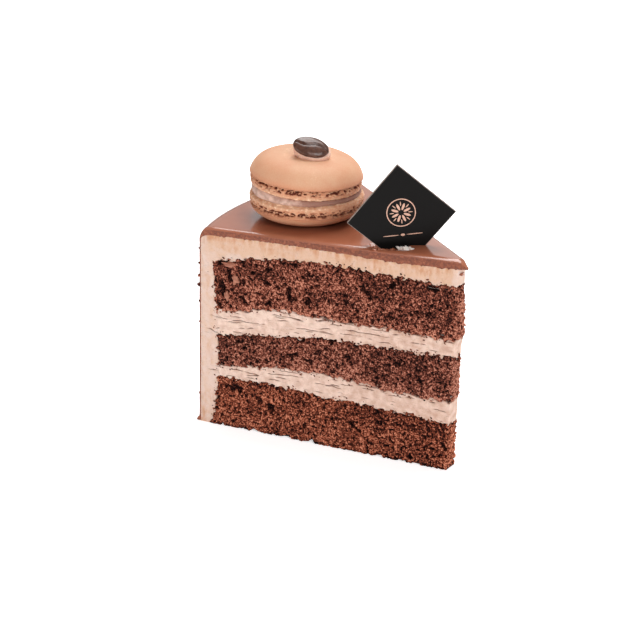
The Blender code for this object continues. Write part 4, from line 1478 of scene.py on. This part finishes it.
add_piece("loose_crumbs", crumbs, top_crumb, "sponge")
smears = bmesh.new()
for place, (radius, height, size) in enumerate(CREAM_SMEARS):
    add_lump(smears, size, UNTURNED, slice_point(radius, height, 0.0), seed=31.0 + place, detail=3)
smeared_cream = cream_finish(
    "smeared_cream", pale=(0.40, 0.16, 0.10), warm=(0.24, 0.075, 0.040), stain=(0.5, 0.3, 0.2)
)
add_piece("cream_smears", smears, smeared_cream, "cream")

# Floor, light and camera
# A pale floor under soft studio boxes, seen from a little above the slice and to its right. Three
# narrow panels behind the slice are what shines in the glaze.
FLOOR_HALF = 6.0
FLOOR_DROP = 0.05
FLOOR_WHITE = (0.94, 0.94, 0.94, 1.0)
FLOOR_GLOW = 0.55
WHITE = (1.0, 1.0, 1.0, 1.0)
ROOM_LIGHT = 0.27

bm = bmesh.new()
bmesh.ops.create_grid(bm, x_segments=1, y_segments=1, size=FLOOR_HALF)
mesh = bpy.data.meshes.new("studio_floor")
bm.to_mesh(mesh)
bm.free()
floor = bpy.data.objects.new("studio_floor", mesh)
bpy.context.scene.collection.objects.link(floor)
floor.location.z = -FLOOR_DROP * MM
floor_white, tree, shader = new_finish("floor_white", roughness=0.9)
shader.inputs["Base Color"].default_value = FLOOR_WHITE
shader.inputs["Emission Color"].default_value = WHITE
shader.inputs["Emission Strength"].default_value = FLOOR_GLOW
mesh.materials.append(floor_white)


def add_softbox(name, place, aim, size, power):
    """A soft box at a place, aimed at a height on the slice, with its size in metres."""
    lamp = bpy.data.lights.new(name, "AREA")
    lamp.shape = "RECTANGLE"
    lamp.size, lamp.size_y = size
    lamp.energy = power
    box = bpy.data.objects.new(name, lamp)
    bpy.context.scene.collection.objects.link(box)
    box.location = place
    way = Vector((0.0, 0.0, aim)) - Vector(place)
    box.rotation_euler = way.to_track_quat("-Z", "Y").to_euler()


add_softbox("front_right", (0.9, -0.7, 0.7), aim=0.04, size=(0.6, 0.6), power=7.6)
add_softbox("front_left", (-0.6, -1.0, 0.28), aim=0.05, size=(0.7, 0.5), power=3.0)
add_softbox("overhead", (0.05, 0.35, 1.0), aim=0.0, size=(0.7, 0.6), power=8.6)
add_softbox("back_high", (-0.5, 1.1, 1.3), aim=0.06, size=(0.8, 0.6), power=6.0)
add_softbox("panel_left", (-0.61, 0.94, 0.42), aim=0.06, size=(0.30, 0.4), power=0.12)
add_softbox("panel_middle", (-0.36, 0.91, 0.42), aim=0.06, size=(0.22, 0.4), power=0.12)
add_softbox("panel_right", (-0.11, 0.87, 0.42), aim=0.06, size=(0.22, 0.4), power=0.24)
world = bpy.data.worlds.new("studio")
world.use_nodes = True
world.node_tree.nodes["Background"].inputs["Color"].default_value = WHITE
world.node_tree.nodes["Background"].inputs["Strength"].default_value = ROOM_LIGHT
bpy.context.scene.world = world
bpy.context.scene.view_settings.view_transform = "Standard"

CAMERA_PLACE = Vector((69.556, -298.744, 190.341))
CAMERA_PITCH = 0.4144
CAMERA_YAW = 0.377
FOCAL_PIXELS = 1032.0
IMAGE_PIXELS = 640.0
SENSOR_WIDTH = 36.0

pitch_cos, pitch_sin = math.cos(CAMERA_PITCH), math.sin(CAMERA_PITCH)
yaw_cos, yaw_sin = math.cos(CAMERA_YAW), math.sin(CAMERA_YAW)
forward = Vector((-yaw_sin * pitch_cos, yaw_cos * pitch_cos, -pitch_sin))
right = Vector((yaw_cos, yaw_sin, 0.0))
turn = Matrix((right, right.cross(forward), -forward)).transposed().to_4x4()
lens = bpy.data.cameras.new("camera")
lens.sensor_width = SENSOR_WIDTH
lens.lens = SENSOR_WIDTH * FOCAL_PIXELS / IMAGE_PIXELS
lens.clip_start = 0.01
camera = bpy.data.objects.new("camera", lens)
bpy.context.scene.collection.objects.link(camera)
camera.matrix_world = Matrix.Translation(CAMERA_PLACE * MM + POINT_IN_FRAME) @ turn
bpy.context.scene.camera = camera
